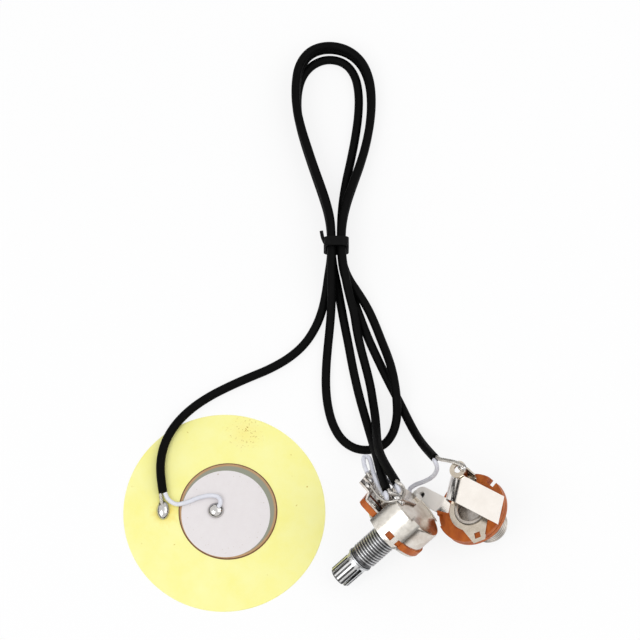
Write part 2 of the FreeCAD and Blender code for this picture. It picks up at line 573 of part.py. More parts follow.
def make_pot_board(place):
    """Round phenolic board with a wide terminal edge and flats under the bracket's arms."""
    body = doc.addObject("PartDesign::Body", "board_tab")
    half = "board_width / 2"
    corners = [("0", "0 - " + half), ("board_reach - board_corner", "0 - " + half),
               ("board_reach", "board_corner - " + half), ("board_reach", half + " - board_corner"),
               ("board_reach - board_corner", half), ("0", half)]
    pad(body, outline(body, "XY_Plane", corners, BOARD_BACK), "board_thickness")
    disc = cylinder("board_disc", "board_diameter / 2", "board_thickness", BOARD_BACK)
    whole = fuse("board_whole", [body, disc])
    hole = cylinder("board_middle", "board_hole / 2", "3 * board_thickness", BOARD_BACK + " - board_thickness")
    tools = [hole]
    inner = "can_diameter / 2"
    for number, mirror in enumerate((0, 180)):
        tag = "_%d" % number
        sector = cylinder("seat_outer" + tag, "board_diameter", "3 * board_thickness",
                          BOARD_BACK + " - board_thickness", angle="arm_angle + 4",
                          turn="arm_start - 2 + %d" % mirror)
        core = cylinder("seat_inner" + tag, inner, "5 * board_thickness", BOARD_BACK + " - 2 * board_thickness")
        tools.append(cut("seat" + tag, sector, [core]))
    for side in (-1, 0, 1):
        tools.append(cylinder("rivet_hole_%d" % (side + 1), "rivet_diameter / 2", "3 * board_thickness",
                              BOARD_BACK + " - board_thickness", "rivet_radius", "%d * terminal_pitch" % side))
    keep(cut("pot_board_cut", whole, tools), "pot_board", place)


def make_pot_films(place):
    """The carbon track, open towards the terminals, and the collector ring inside it."""
    z = BOARD_BACK + " - film_thickness"
    track = cylinder("track_outer_disc", "track_outer / 2", "film_thickness", z,
                     angle="360 - track_gap_angle", turn="track_gap_angle / 2")
    middle = cylinder("track_inner_disc", "track_inner / 2", "3 * film_thickness", z + " - film_thickness")
    keep(cut("pot_track", track, [middle]), "pot_track", place)
    ring = cylinder("collector_disc", "collector_outer / 2", "film_thickness", z)
    eye = cylinder("collector_hole", "board_hole / 2", "3 * film_thickness", z + " - film_thickness")
    keep(cut("pot_collector", ring, [eye]), "pot_collector", place)


def make_pot_can(place):
    """Drawn can with a notch for the terminals and an inner stop for the rotor's lug."""
    front = BOARD_BACK
    wall = "can_diameter / 2 - can_wall"
    points = [
        ("0", CAN_BACK), ("can_diameter / 2 - can_corner", CAN_BACK),
        ("can_diameter / 2 - 0.3 * can_corner", CAN_BACK + " + 0.3 * can_corner"),
        ("can_diameter / 2", CAN_BACK + " + can_corner"), ("can_diameter / 2", front), (wall, front),
        (wall, CAN_BACK + " + can_wall"), ("0", CAN_BACK + " + can_wall"),
    ]
    cup = turned_body("can_cup", points)
    notch = box("can_notch", "can_diameter", "can_notch_width", "2 * can_notch_depth",
                "terminal_inner - 0.3", "0 - can_notch_width / 2", front + " - can_notch_depth")
    shell = cut("can_shell", cup, [notch])
    stop_angle = "(360 - shaft_travel - rotor_lug_angle - 2 * stop_clear_angle)"
    stop = cylinder("stop_sector", "can_diameter / 2 - can_wall / 2", "rotor_thickness", ROTOR_FRONT + " - rotor_thickness",
                    angle=stop_angle, turn="wiper_angle + 180 - %s / 2" % stop_angle)
    core = cylinder("stop_core", "rotor_diameter / 2 + 0.15", "3 * rotor_thickness", ROTOR_FRONT + " - 2 * rotor_thickness")
    keep(fuse("pot_can", [shell, cut("stop_block", stop, [core])]), "pot_can", place)


def make_pot_terminals(place):
    """Three sheet terminals, cranked behind the board, with oblong eyes; and their rivets."""
    back = -(size("bracket_thickness") + size("board_thickness"))
    half = size("terminal_thickness") / 2
    foot = back - half
    lug = back - size("terminal_crank") - half
    knee = size("board_reach") - 0.6
    inner = size("terminal_inner")
    outer = size("terminal_reach")
    crank = size("terminal_crank")
    width = size("terminal_width")
    rivets = []
    for number, label in enumerate(("pot_terminal_ground", "pot_terminal_wiper", "pot_terminal_input")):
        side = (number - 1) * size("terminal_pitch")
        shape = strip([(inner, foot), (knee, foot), (knee + 0.5 * crank, lug), (outer, lug)],
                      width, 2 * half, size("terminal_bend"), side)
        eye = Part.makeBox(size("eye_length"), size("eye_width"), 10,
                           FreeCAD.Vector(outer - 0.8 - size("eye_length"), side - size("eye_width") / 2, lug - 5))
        hole = Part.makeCylinder(size("rivet_diameter") / 2, 4, FreeCAD.Vector(size("rivet_radius"), side, foot - 2))
        keep(shaped(label, shape.cut(eye).cut(hole)), label, place)
        head = dome("rivet_back_%d" % number, (size("rivet_radius"), side, foot - half), 1, 1, 1, None, 180)
        bind(head, {"Radius1": "rivet_cap_height", "Radius2": "rivet_cap / 2", "Radius3": "rivet_cap / 2"})
        pin = cylinder("rivet_pin_%d" % number, "rivet_diameter / 2",
                       "board_thickness + terminal_thickness + rivet_cap_height / 2",
                       BOARD_BACK + " - terminal_thickness - rivet_cap_height / 2",
                       "rivet_radius", "%d * terminal_pitch" % (number - 1))
        rivets.append(fuse("rivet_%d" % number, [head, pin]))
    keep(fuse("pot_rivets", rivets), "pot_rivets", place)


def make_pot_shaft(place):
    """Split knurled shaft: splines round its end, a slot, a clip groove, a flange and a riveted stub."""
    flange_front = "0 - bracket_thickness - swage_height - clip_play"
    flange_back = flange_front + " - flange_height"
    rotor_back = ROTOR_FRONT + " - rotor_thickness"
    groove_end = "thread_length + clip_thickness + 2 * clip_play"
    tip = "thread_length + shaft_reach"
    radius = "shaft_diameter / 2"
    points = [
        ("0", rotor_back + " - rivet_head"), ("stub_diameter / 2 + 0.5", rotor_back + " - rivet_head"),
        ("stub_diameter / 2 + 0.5", rotor_back), ("stub_diameter / 2", rotor_back),
        ("stub_diameter / 2", flange_back), ("flange_diameter / 2", flange_back),
        ("flange_diameter / 2", flange_front), (radius, flange_front), (radius, "thread_length"),
        ("groove_diameter / 2", "thread_length"), ("groove_diameter / 2", groove_end), (radius, groove_end),
        (radius, tip + " - 0.5"), (radius + " - 0.4", tip), ("0", tip),
    ]
    body = turned_body("shaft_blank", points)
    slot = box("shaft_slot", "shaft_diameter + 2", "slot_width", "slot_depth + 1", "0 - shaft_diameter / 2 - 1",
               "0 - slot_width / 2", tip + " - slot_depth")
    tools = [turned(slot, "slot_angle")]
    count = int(size("spline_count"))
    for number in range(count):
        flute = box("flute_%d" % number, "spline_depth * 2", "spline_depth * 1.8", "spline_length + 1",
                    radius + " - spline_depth", "0 - spline_depth * 0.9", tip + " - spline_length")
        tools.append(turned(flute, "%d * 360 / spline_count + 5" % number))
    keep(cut("pot_shaft", body, tools), "pot_shaft", place)


def make_pot_clip(place):
    """C-shaped clip in the shaft's groove, in front of the bushing."""
    z = "thread_length + clip_play"
    ring = cylinder("clip_disc", "clip_diameter / 2", "clip_thickness", z, angle="300", turn="slot_angle + 30")
    eye = cylinder("clip_eye", "groove_diameter / 2 + clip_play / 2", "3 * clip_thickness", z + " - clip_thickness")
    keep(cut("pot_clip", ring, [eye]), "pot_clip", place)


def make_pot_rotor(place):
    """Rotor with its stop lug, and the wiper spring on its front face."""
    z = ROTOR_FRONT + " - rotor_thickness"
    disc = cylinder("rotor_disc", "rotor_diameter / 2", "rotor_thickness", z)
    lug = cylinder("rotor_lug", "rotor_diameter / 2 + rotor_lug_reach", "rotor_thickness", z,
                   angle="rotor_lug_angle", turn="wiper_angle - rotor_lug_angle / 2")
    hole = cylinder("rotor_hole", "stub_diameter / 2", "3 * rotor_thickness", z + " - rotor_thickness")
    keep(cut("pot_rotor", fuse("rotor_whole", [disc, lug]), [hole]), "pot_rotor", place)
    reach = "(track_inner + track_outer) / 4"
    plate = turned(box("wiper_plate", reach + " + 0.6", "wiper_width", "wiper_thickness", "0",
                       "0 - wiper_width / 2", ROTOR_FRONT), "wiper_angle")
    eye = cylinder("wiper_hole", "stub_diameter / 2", "3 * wiper_thickness", ROTOR_FRONT + " - wiper_thickness")
    hub = cylinder("wiper_hub", "stub_diameter / 2 + 0.7", "wiper_thickness", ROTOR_FRONT)
    height = "rotor_gap - film_thickness - contact_clear - wiper_thickness"
    nibs = []
    for number, radius in enumerate((reach, "(board_hole + collector_outer) / 4")):
        nib = doc.addObject("Part::Cone", "wiper_nib_%d" % number)
        bind(nib, {"Radius1": "0.45", "Radius2": "0.2", "Height": height})
        seat(nib, radius, "0", ROTOR_FRONT + " + wiper_thickness")
        nibs.append(turned(nib, "wiper_angle"))
    flat = cut("wiper_flat", fuse("wiper_sheet", [plate, hub]), [eye])
    keep(fuse("wiper_whole", [flat] + nibs), "pot_wiper", place)


def make_pot():
    tip = FreeCAD.Vector(size("pot_tip_x"), size("pot_tip_y"), size("pot_tip_z"))
    lean = frame("pot_heading", "pot_polar", "pot_roll", FreeCAD.Vector())
    base = tip - lean.multVec(FreeCAD.Vector(0, 0, size("thread_length") + size("shaft_reach")))
    place = FreeCAD.Placement(base, lean.Rotation)
    for make in (make_pot_bushing, make_pot_bracket, make_pot_board, make_pot_films, make_pot_can,
                 make_pot_terminals, make_pot_shaft, make_pot_clip, make_pot_rotor):
        make(place)
    return place


# The output jack, in its own frame: Z out of its back, 0 on the upper wafer

def make_jack_bushing(place):
    """Threaded bushing with a flange, a neck through the wafers and a rolled rim."""
    bore = "plug_bore / 2"
    flange_top = "0 - 2 * wafer_thickness - spring_thickness"
    end = flange_top + " - jack_flange_height - jack_thread_length"
    top = "ground_thickness + jack_rim_height"
    points = [
        (bore, end + " + jack_mouth"), (bore + " + jack_mouth", end), ("jack_thread / 2 - 0.3", end),
        ("jack_thread / 2", end + " + 0.3"), ("jack_thread / 2", flange_top + " - jack_flange_height"),
        ("jack_flange / 2", flange_top + " - jack_flange_height"), ("jack_flange / 2", flange_top),
        ("jack_neck / 2", flange_top), ("jack_neck / 2", "ground_thickness"),
        ("jack_rim / 2", "ground_thickness"), ("jack_rim / 2 - 0.15", top), (bore, top),
    ]
    keep(turned_body("jack_bushing", points), "jack_bushing", place)


def wafer(name, label, diameter, z, notches, place, trim=None):
    disc = cylinder(name + "_disc", diameter + " / 2", "wafer_thickness", z)
    tools = [cylinder(name + "_hole", "jack_neck / 2 + neck_clear", "3 * wafer_thickness", z + " - wafer_thickness")]
    for number, (angle, width) in enumerate(notches):
        slot = box("%s_notch_%d" % (name, number), "wafer_notch_depth + 2", width, "3 * wafer_thickness",
                   diameter + " / 2 - wafer_notch_depth", "0 - (%s) / 2" % width, z + " - wafer_thickness")
        tools.append(turned(slot, angle))
    if trim is not None:
        tools.append(trim)
    keep(cut(name, disc, tools), label, place)


def make_jack_wafers(place):
    """Two phenolic wafers; the upper one is cut away where the tip spring rises."""
    lower_z = "0 - 2 * wafer_thickness - spring_thickness"
    wafer("lower_wafer_cut", "jack_wafer_lower", "lower_wafer", lower_z,
          [("258", "wafer_notch"), ("80", "wafer_notch")], place)
    side = "leaf_high_side - leaf_low_side"
    gap = box("leaf_gap", "6", side + " + 2.1", "4 * wafer_thickness", "0.9 - leaf_back - 6",
              "leaf_low_side - 0.5", "0 - 2 * wafer_thickness")
    wafer("upper_wafer_cut", "jack_wafer_upper", "upper_wafer", "0 - wafer_thickness",
          [("80", "wafer_notch"), ("228", "wafer_notch * 1.3")], place, turned(gap, "leaf_turn"))


def make_jack_insulator(place):
    z = "0 - wafer_thickness - spring_thickness"
    ring = cylinder("collar_disc", "spring_hole / 2 - neck_clear", "spring_thickness", z)
    eye = cylinder("collar_hole", "jack_neck / 2 + neck_clear", "3 * spring_thickness", z + " - spring_thickness")
    keep(cut("jack_insulator", ring, [eye]), "jack_insulator", place)


def make_tip_spring(place):
    """One sheet: base ring and solder lug between the wafers, and a leaf bent over the bore."""
    thick = size("spring_thickness")
    low = -size("wafer_thickness") - thick
    base = Part.makeCylinder(size("spring_base") / 2, thick, FreeCAD.Vector(0, 0, low))
    lug_width = size("tip_lug_width")
    lug_side = size("tip_lug_side")
    lug_end = FreeCAD.Vector(-size("tip_lug_reach"), lug_side, low)
    lug = Part.makeBox(size("tip_lug_reach"), lug_width, thick,
                       FreeCAD.Vector(-size("tip_lug_reach"), lug_side - lug_width / 2, low))
    lug = lug.fuse(Part.makeCylinder(lug_width / 2, thick, lug_end))
    back = -size("leaf_back")
    rise = size("leaf_arc")
    middle = low + thick / 2
    top = middle + size("leaf_foot") + rise
    far = size("leaf_reach")
    long = 4 * far
    knee = middle + size("leaf_foot")
    start = FreeCAD.Vector(back, 0, knee)
    crown = FreeCAD.Vector(back + rise, 0, knee + rise)
    half_way = FreeCAD.Vector(back + rise * (1 - math.cos(math.pi / 4)), 0, knee + rise * math.sin(math.pi / 4))
    foot = Part.Wire([
        Part.LineSegment(FreeCAD.Vector(-2.0, 0, middle), FreeCAD.Vector(back + size("leaf_foot"), 0, middle)).toShape(),
        Part.Arc(
            FreeCAD.Vector(back + size("leaf_foot"), 0, middle),
            FreeCAD.Vector(back + size("leaf_foot") * (1 - math.sin(math.pi / 4)), 0,
                           middle + size("leaf_foot") * (1 - math.cos(math.pi / 4))),
            start,
        ).toShape(),
        Part.Arc(start, half_way, crown).toShape(),
        Part.LineSegment(crown, FreeCAD.Vector(far, 0, top)).toShape(),
    ])
    origin = FreeCAD.Vector(-2.0, 0, middle)
    corners = [origin + FreeCAD.Vector(0, y, z) for y, z in
               ((long / 2, thick / 2), (-long / 2, thick / 2), (-long / 2, -thick / 2), (long / 2, -thick / 2))]
    section = Part.makePolygon(corners + corners[:1])
    leaf = foot.makePipeShell([section], True, False)
    leaf.rotate(FreeCAD.Vector(), FreeCAD.Vector(0, 0, 1), size("leaf_turn"))
    span = size("leaf_high_side") - size("leaf_low_side")
    band = Part.makeBox(2 * long, span, 40, FreeCAD.Vector(-long, size("leaf_low_side"), -20))
    leaf = leaf.common(band)
    hole = Part.makeCylinder(size("spring_hole") / 2, thick, FreeCAD.Vector(0, 0, low))
    eye = Part.makeCylinder(size("tip_lug_hole") / 2, thick, lug_end)
    whole = base.fuse([lug, leaf]).removeSplitter().cut(hole).cut(eye)
    keep(shaped("jack_tip_spring", whole), "jack_tip_spring", place)


def make_ground_lug(place):
    """Flat ring under the rolled rim with a tapered tail, a strap that stands up and a solder eye."""
    thick = size("ground_thickness")
    ring = Part.makeCylinder(size("ground_ring") / 2, thick)
    tail_end = size("ground_tail")
    half = size("ground_tail_width") / 2
    root = 0.93 * size("ground_ring") / 2
    corners = [FreeCAD.Vector(x, y, 0) for x, y in ((0, -root), (tail_end, -half), (tail_end, half), (0, root))]
    tail = Part.Face(Part.makePolygon(corners + corners[:1])).extrude(FreeCAD.Vector(0, 0, thick))
    eye = Part.makeBox(half, half, 3 * thick, FreeCAD.Vector(tail_end - 1.5 * half, -half / 2, -thick))
    tail = tail.cut(eye)
    tail.rotate(FreeCAD.Vector(), FreeCAD.Vector(0, 0, 1), size("ground_tail_angle"))
    reach = size("ground_strap_reach")
    top = size("ground_eye_height")
    strap = strip([(2.0, thick / 2), (reach, thick / 2), (reach, top)], size("ground_strap_width"), thick, 0.8)
    strap.rotate(FreeCAD.Vector(), FreeCAD.Vector(0, 0, 1), size("ground_strap_angle"))
    spot = FreeCAD.Vector(size("ground_eye_x"), size("ground_eye_y"), top - thick)
    plate = Part.makeCylinder(size("ground_eye") / 2, thick, spot)
    whole = ring.fuse([tail, strap, plate]).removeSplitter()
    whole = whole.cut(Part.makeCylinder(size("ground_eye_hole") / 2, 3 * thick, spot - FreeCAD.Vector(0, 0, thick)))
    whole = whole.cut(Part.makeCylinder(size("jack_neck") / 2 + size("neck_clear"), thick))
    keep(shaped("jack_ground_lug", whole), "jack_ground_lug", place)


def make_jack():
    base = FreeCAD.Vector(size("jack_x"), size("jack_y"), size("jack_z"))
    place = frame("jack_heading", "jack_polar", "jack_roll", base)
    for make in (make_jack_bushing, make_jack_wafers, make_jack_insulator, make_tip_spring, make_ground_lug):
        make(place)
    return place


def make_pot_wires(place):
    """Shields to the can, white leads to two lugs, the ground wire, and their solder."""
    shield = size("shield_diameter")
    lead = size("lead_diameter")
    strand = size("strand_diameter")
    first = tube("pot_input_shield", POT_INPUT_SHIELD, shield)
    second = tube("pot_output_shield", POT_OUTPUT_SHIELD, shield)
    ground = tube("pot_ground_wire", POT_GROUND_WIRE, strand)
    entry = tube("pot_input_lead", POT_INPUT_LEAD, lead)
    tube("pot_output_lead", POT_OUTPUT_LEAD, lead)
    strands = tube("pot_output_strands", POT_OUTPUT_STRANDS, strand)
    back = -(size("bracket_thickness") + size("board_thickness"))
    solder("pot_can_solder", dome("can_blob", (5.2, -4.6, back - size("can_depth")), 2.1, 1.6, 1.2, place, 180),
           [first, second, ground])
    behind = back - size("terminal_crank") - size("terminal_thickness")
    middle = size("terminal_reach") - 0.8 - size("eye_length") / 2
    pitch = size("terminal_pitch")
    solder("pot_ground_solder", dome("ground_blob", (middle - 0.2, -pitch, behind), 1.1, 1.1, 0.8, place, 180), [ground])
    solder("pot_wiper_solder", dome("wiper_blob", (middle, 0, behind), 1.1, 1.0, 0.7, place, 180), [strands])
    solder("pot_input_solder", dome("input_blob", (middle, pitch, behind), 1.2, 1.1, 0.9, place, 180), [entry])


def make_jack_wires(place):
    """The shield to the ground lug's eye and the white lead to the tip spring's lug."""
    shield = tube("jack_shield_wire", JACK_SHIELD, size("shield_diameter"))
    lead = tube("jack_signal_lead", JACK_LEAD, size("lead_diameter"))
    spot = (size("ground_eye_x") + 0.9, size("ground_eye_y") + 0.9, size("ground_eye_height"))
    solder("jack_ground_solder", dome("eye_blob", spot, 1.3, 1.0, 1.0, place), [shield])
    under = -(size("wafer_thickness") + size("spring_thickness"))
    solder("jack_tip_solder", dome("tip_blob", (-size("tip_lug_reach"), size("tip_lug_side"), under),
                                   1.4, 1.3, 0.9, place, 180), [lead])


def check_and_write():
    """Stop on any failed item, then write each piece."""
    doc.recompute()
    for item in doc.Objects:
        if "Invalid" in item.State or "Error" in item.State:
            raise RuntimeError("%s failed: %s" % (item.Name, item.State))
    os.makedirs("parts", exist_ok=True)
    for item in finished:
        shape = item.Shape
        if shape.isNull() or not shape.isValid() or not shape.Solids:
            raise RuntimeError("%s has no valid solid" % item.Label)
        shape.exportStep("parts/%s.step" % item.Label)
    print("%d pieces written" % len(finished))


make_disc()
make_cables()
make_tie()
pot_place = make_pot()
jack_place = make_jack()
make_pot_wires(pot_place)
make_jack_wires(jack_place)
check_and_write()
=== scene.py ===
"""Piezo pickup with its volume control and output jack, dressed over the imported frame."""

import json
import math

import bmesh
import bpy
from mathutils import Matrix, Vector

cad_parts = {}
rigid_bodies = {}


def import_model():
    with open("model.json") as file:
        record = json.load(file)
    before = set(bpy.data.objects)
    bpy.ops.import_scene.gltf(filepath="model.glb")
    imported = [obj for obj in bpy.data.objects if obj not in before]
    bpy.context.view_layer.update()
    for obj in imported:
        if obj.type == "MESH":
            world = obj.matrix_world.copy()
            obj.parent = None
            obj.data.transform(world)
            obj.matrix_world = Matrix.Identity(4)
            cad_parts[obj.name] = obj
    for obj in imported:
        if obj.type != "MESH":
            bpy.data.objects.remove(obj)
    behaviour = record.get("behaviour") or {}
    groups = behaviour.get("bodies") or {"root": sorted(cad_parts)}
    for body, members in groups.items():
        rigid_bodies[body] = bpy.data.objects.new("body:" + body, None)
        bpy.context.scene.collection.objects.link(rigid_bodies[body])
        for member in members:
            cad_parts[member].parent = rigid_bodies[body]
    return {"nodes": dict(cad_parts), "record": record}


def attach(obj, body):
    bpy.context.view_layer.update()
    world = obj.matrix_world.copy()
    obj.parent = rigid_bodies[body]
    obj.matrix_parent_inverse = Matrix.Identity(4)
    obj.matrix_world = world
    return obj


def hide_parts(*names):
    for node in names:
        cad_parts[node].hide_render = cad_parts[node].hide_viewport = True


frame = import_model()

bl_info = {
    "name": "Piezo Pickup",
    "version": (1, 0, 0),
    "blender": (4, 5, 0),
    "location": "View3D > Sidebar > Pickup",
    "description": "Builds the cables, threads, solder and finishes of a piezo pickup",
    "category": "Object",
}

# Middle line of each cable and of each bare shield, in metres
PICKUP_ROUTE = (
    (-0.0152, 0.0048, 0.0015), (-0.0159, 0.009, 0.0015), (-0.0159, 0.0134, 0.0015),
    (-0.0148, 0.018, 0.0015), (-0.0123, 0.0223, 0.0015), (-0.0086, 0.0262, 0.0014),
    (-0.004, 0.0295, 0.0012), (0.0009, 0.0321, 0.00115), (0.0059, 0.0344, 0.00115),
    (0.0109, 0.0365, 0.00115), (0.0156, 0.0392, 0.00115), (0.0196, 0.0427, 0.00115),
    (0.0224, 0.047, 0.00115), (0.0242, 0.0516, 0.0012), (0.0252, 0.0562, 0.0021),
    (0.0258, 0.0604, 0.0038), (0.0265, 0.0648, 0.0042), (0.0266, 0.0694, 0.0042),
    (0.0264, 0.0738, 0.0042), (0.0255, 0.0784, 0.00385), (0.024, 0.0834, 0.00345),
    (0.0222, 0.0886, 0.00345), (0.0205, 0.094, 0.00345), (0.0188, 0.0996, 0.00345),
    (0.0176, 0.1054, 0.00345), (0.0175, 0.1112, 0.0034), (0.0183, 0.1164, 0.00335),
    (0.0211, 0.1208, 0.0024), (0.0256, 0.1227, 0.0012), (0.0306, 0.1217, 0.00115),
    (0.0344, 0.1184, 0.00115), (0.0364, 0.1134, 0.00115), (0.0369, 0.1078, 0.00115),
    (0.0365, 0.1018, 0.00115), (0.0354, 0.0958, 0.0012), (0.0338, 0.09, 0.0019),
    (0.0319, 0.0842, 0.0029), (0.0302, 0.0786, 0.00385), (0.0292, 0.0734, 0.0042),
    (0.02905, 0.0682, 0.0042), (0.0293, 0.0634, 0.0042), (0.0309, 0.0594, 0.0037),
    (0.0333, 0.056, 0.00305), (0.0357, 0.0524, 0.0017), (0.0375, 0.0484, 0.0012),
    (0.039, 0.0442, 0.0015), (0.0404, 0.0402, 0.0026), (0.0415, 0.0362, 0.0042),
    (0.0423, 0.032, 0.0047), (0.0428, 0.0276, 0.0045), (0.0429, 0.0236, 0.0024),
    (0.0419, 0.0198, 0.0012), (0.0396, 0.0168, 0.00115), (0.036, 0.0155, 0.00115),
    (0.0321, 0.016, 0.00115), (0.0289, 0.0184, 0.00115), (0.0268, 0.0222, 0.00115),
    (0.0256, 0.0268, 0.00115), (0.0251, 0.0318, 0.00115), (0.0252, 0.037, 0.00115),
    (0.0256, 0.042, 0.0012), (0.0261, 0.0468, 0.0016), (0.0265, 0.0514, 0.0029),
    (0.0266, 0.056, 0.0048), (0.0265, 0.0606, 0.00615), (0.0266, 0.0654, 0.0065),
    (0.02655, 0.0704, 0.0065), (0.0263, 0.0746, 0.0065), (0.0253, 0.079, 0.00615),
    (0.0239, 0.0836, 0.00575), (0.0221, 0.0888, 0.00575), (0.0204, 0.0942, 0.00575),
    (0.0187, 0.0998, 0.00575), (0.0175, 0.1056, 0.00575), (0.0174, 0.1114, 0.00575),
    (0.0182, 0.1166, 0.00565), (0.0211, 0.121, 0.0047), (0.0257, 0.1228, 0.0036),
    (0.0307, 0.1218, 0.00345), (0.0345, 0.1185, 0.00345), (0.0365, 0.1135, 0.00345),
    (0.037, 0.1078, 0.00345), (0.0366, 0.1018, 0.00345), (0.0355, 0.0958, 0.0035),
    (0.0339, 0.09, 0.0042), (0.0319, 0.0842, 0.0052), (0.0302, 0.0788, 0.00615),
    (0.0292, 0.0736, 0.0065), (0.029, 0.0684, 0.0065), (0.0293, 0.0636, 0.00655),
    (0.0301, 0.059, 0.006), (0.0311, 0.0548, 0.00455), (0.0323, 0.0506, 0.0034),
    (0.0329, 0.0464, 0.0026), (0.0339, 0.0418, 0.0016), (0.0352, 0.037, 0.00115),
    (0.0363, 0.0322, 0.00125), (0.0369, 0.0278, 0.0021), (0.0374, 0.0236, 0.004),
    (0.0376, 0.0198, 0.0064), (0.0377, 0.0162, 0.0094), (0.038, 0.0128, 0.0129),
    (0.0389, 0.0094, 0.0164), (0.0403, 0.0058, 0.0197), (0.042, 0.0022, 0.0225),
)
OUTPUT_ROUTE = (
    (0.0398, 0.0004, 0.0213), (0.039, 0.0037, 0.0184), (0.0382, 0.0076, 0.0146),
    (0.0376, 0.0115, 0.0106), (0.0369, 0.0154, 0.0069), (0.036, 0.0194, 0.0041),
    (0.0349, 0.0239, 0.0023), (0.0337, 0.0286, 0.0013), (0.0326, 0.0334, 0.00115),
    (0.03165, 0.0382, 0.00115), (0.0308, 0.0432, 0.00115), (0.0298, 0.0484, 0.00115),
    (0.0289, 0.0536, 0.00115), (0.028, 0.0586, 0.00155), (0.027, 0.0632, 0.0019),
    (0.0265, 0.0678, 0.0019), (0.0265, 0.0726, 0.0019), (0.0258, 0.0774, 0.00155),
    (0.0243, 0.0826, 0.00115), (0.0225, 0.088, 0.00115), (0.0207, 0.0936, 0.00115),
    (0.019, 0.0994, 0.00115), (0.0178, 0.1052, 0.00115), (0.0179, 0.1108, 0.00115),
    (0.0192, 0.1154, 0.00115), (0.0222, 0.1187, 0.00115), (0.0262, 0.1199, 0.00115),
    (0.0303, 0.1187, 0.00115), (0.0328, 0.1152, 0.00115), (0.0337, 0.1104, 0.00115),
    (0.0336, 0.1048, 0.00115), (0.0328, 0.0986, 0.00115), (0.0316, 0.0922, 0.00115),
    (0.0302, 0.0858, 0.00115), (0.0293, 0.0794, 0.00155), (0.029, 0.0734, 0.0019),
    (0.029, 0.0676, 0.0019), (0.0295, 0.0624, 0.0019), (0.031, 0.0579, 0.00115),
    (0.0326, 0.0535, 0.00115), (0.0341, 0.0492, 0.00115), (0.0357, 0.0448, 0.00115),
    (0.0376, 0.0404, 0.00115), (0.0396, 0.036, 0.00115), (0.0417, 0.0316, 0.00115),
    (0.0438, 0.0274, 0.00115), (0.0457, 0.0232, 0.0014), (0.0474, 0.0193, 0.003),
    (0.0491, 0.0158, 0.006), (0.0506, 0.013, 0.0093), (0.0518, 0.0107, 0.0125),
)
# Route and length in metres of each cable
CABLES = {"pickup_cable": (PICKUP_ROUTE, 0.521), "output_cable": (OUTPUT_ROUTE, 0.2553)}
TWISTED_SHIELDS = {
    "disc_shield_wire": (
        (-0.01575, 0.00455, 0.00125), (-0.0157, 0.003, 0.0011), (-0.01515, 0.0006, 0.00085),
    ),
    "pot_input_shield": (
        (0.04202, 0.0023, 0.02315), (0.0428, 0.0015, 0.024), (0.0439, 0.0005, 0.0229),
        (0.04395, -0.0006, 0.0209), (0.0434, -0.0011, 0.0198),
    ),
    "pot_output_shield": (
        (0.04028, 0.0005, 0.0218), (0.0405, -0.0003, 0.0225), (0.0413, -0.0008, 0.0222),
        (0.04225, -0.0008, 0.0211),
    ),
    "jack_shield_wire": (
        (0.05225, 0.01085, 0.0129), (0.0527, 0.0101, 0.0139), (0.0549, 0.0093, 0.0156),
        (0.057, 0.0083, 0.0176), (0.0586, 0.0072, 0.01825),
    ),
}


def leaning(heading, polar, roll, base):
    """Frame of a turned part: compass turn, lean from upright, turn about its own axis."""
    turn = Matrix.Rotation(math.radians(heading), 4, "Z")
    turn = turn @ Matrix.Rotation(math.radians(polar), 4, "Y")
    turn = turn @ Matrix.Rotation(math.radians(roll), 4, "Z")
    return Matrix.Translation(base) @ turn


# Frames of the control and of the jack, each with its axis along Z
POT_PLACE = leaning(217.0, 118.4, 255.9, (0.04111559, -0.00741812, 0.0114588))
JACK_PLACE = leaning(162.4, 27.1, 164.7, (0.0606, -0.0023, 0.01325))
DISC_PLACE = Matrix.Identity(4)
MM = 0.001
MICROMETRE = 0.000001

# Edge radius in millimetres of each pressed, turned or moulded piece
SOFT_EDGES = {
    "brass_disc": 0.06, "ceramic_disc": 0.04, "bond_layer": 0.01, "silver_electrode": 0.01,
    "bundle_tie": 0.22, "pot_bracket": 0.09, "pot_board": 0.07, "pot_can": 0.05,
    "pot_terminal_ground": 0.07, "pot_terminal_wiper": 0.07, "pot_terminal_input": 0.07,
    "pot_shaft": 0.05, "pot_clip": 0.05, "pot_rotor": 0.05,
    "jack_wafer_lower": 0.08, "jack_wafer_upper": 0.08,
    "jack_tip_spring": 0.08, "jack_ground_lug": 0.08,
}
SMOOTH_WIRES = (
    "disc_signal_lead", "pot_input_lead", "pot_output_lead", "pot_output_strands",
    "pot_ground_wire", "jack_signal_lead",
)
# Strands in a twisted shield, and their distance from its middle as a share of a strand's diameter
STRANDS = 5
STRAND_SPREAD = 0.8
# Size of the cells that solder is remeshed with, and how uneven its surface gets, in metres
SOLDER_CELL = 0.00008
SOLDER_BUMPS = 0.00004
# Steps of a full turn, and the distances in metres under which two points of a turned piece or of a copied
# solid become one
TURN_STEPS = 72
TURNED_WELD = 0.0000005
COPIED_WELD = 0.000001
# One turn of a thread: each point's share of the pitch, and whether it lies on the crest
THREAD_TURN = ((0.1, False), (0.42, True), (0.56, True), (0.88, False))

# Forms that the photo shows a little smaller or larger than the solids have them, in metres.
# A wafer's rim, which starts at a distance from the jack's axis, is drawn in towards a point near its lugs
RIM_TRIM = {"jack_wafer_lower": 0.905, "jack_wafer_upper": 0.93}
RIM_START = 0.0065
RIM_GOAL = (-0.0092, 0.0022, 0)
# The leaf's free end is cut at a distance from the jack's axis, square to the leaf's heading
LEAF_TURN = math.radians(20.2)
LEAF_END = 0.0103
# Share of its size and middle of each flat layer on the disc
LAYER_SIZES = {
    "bond_layer": (0.957, (0.0009, 0.00025, 0)), "ceramic_disc": (0.957, (0.0009, 0.00025, 0)),
    "silver_electrode": (0.981, (0.00035, -0.00045, 0)),
}
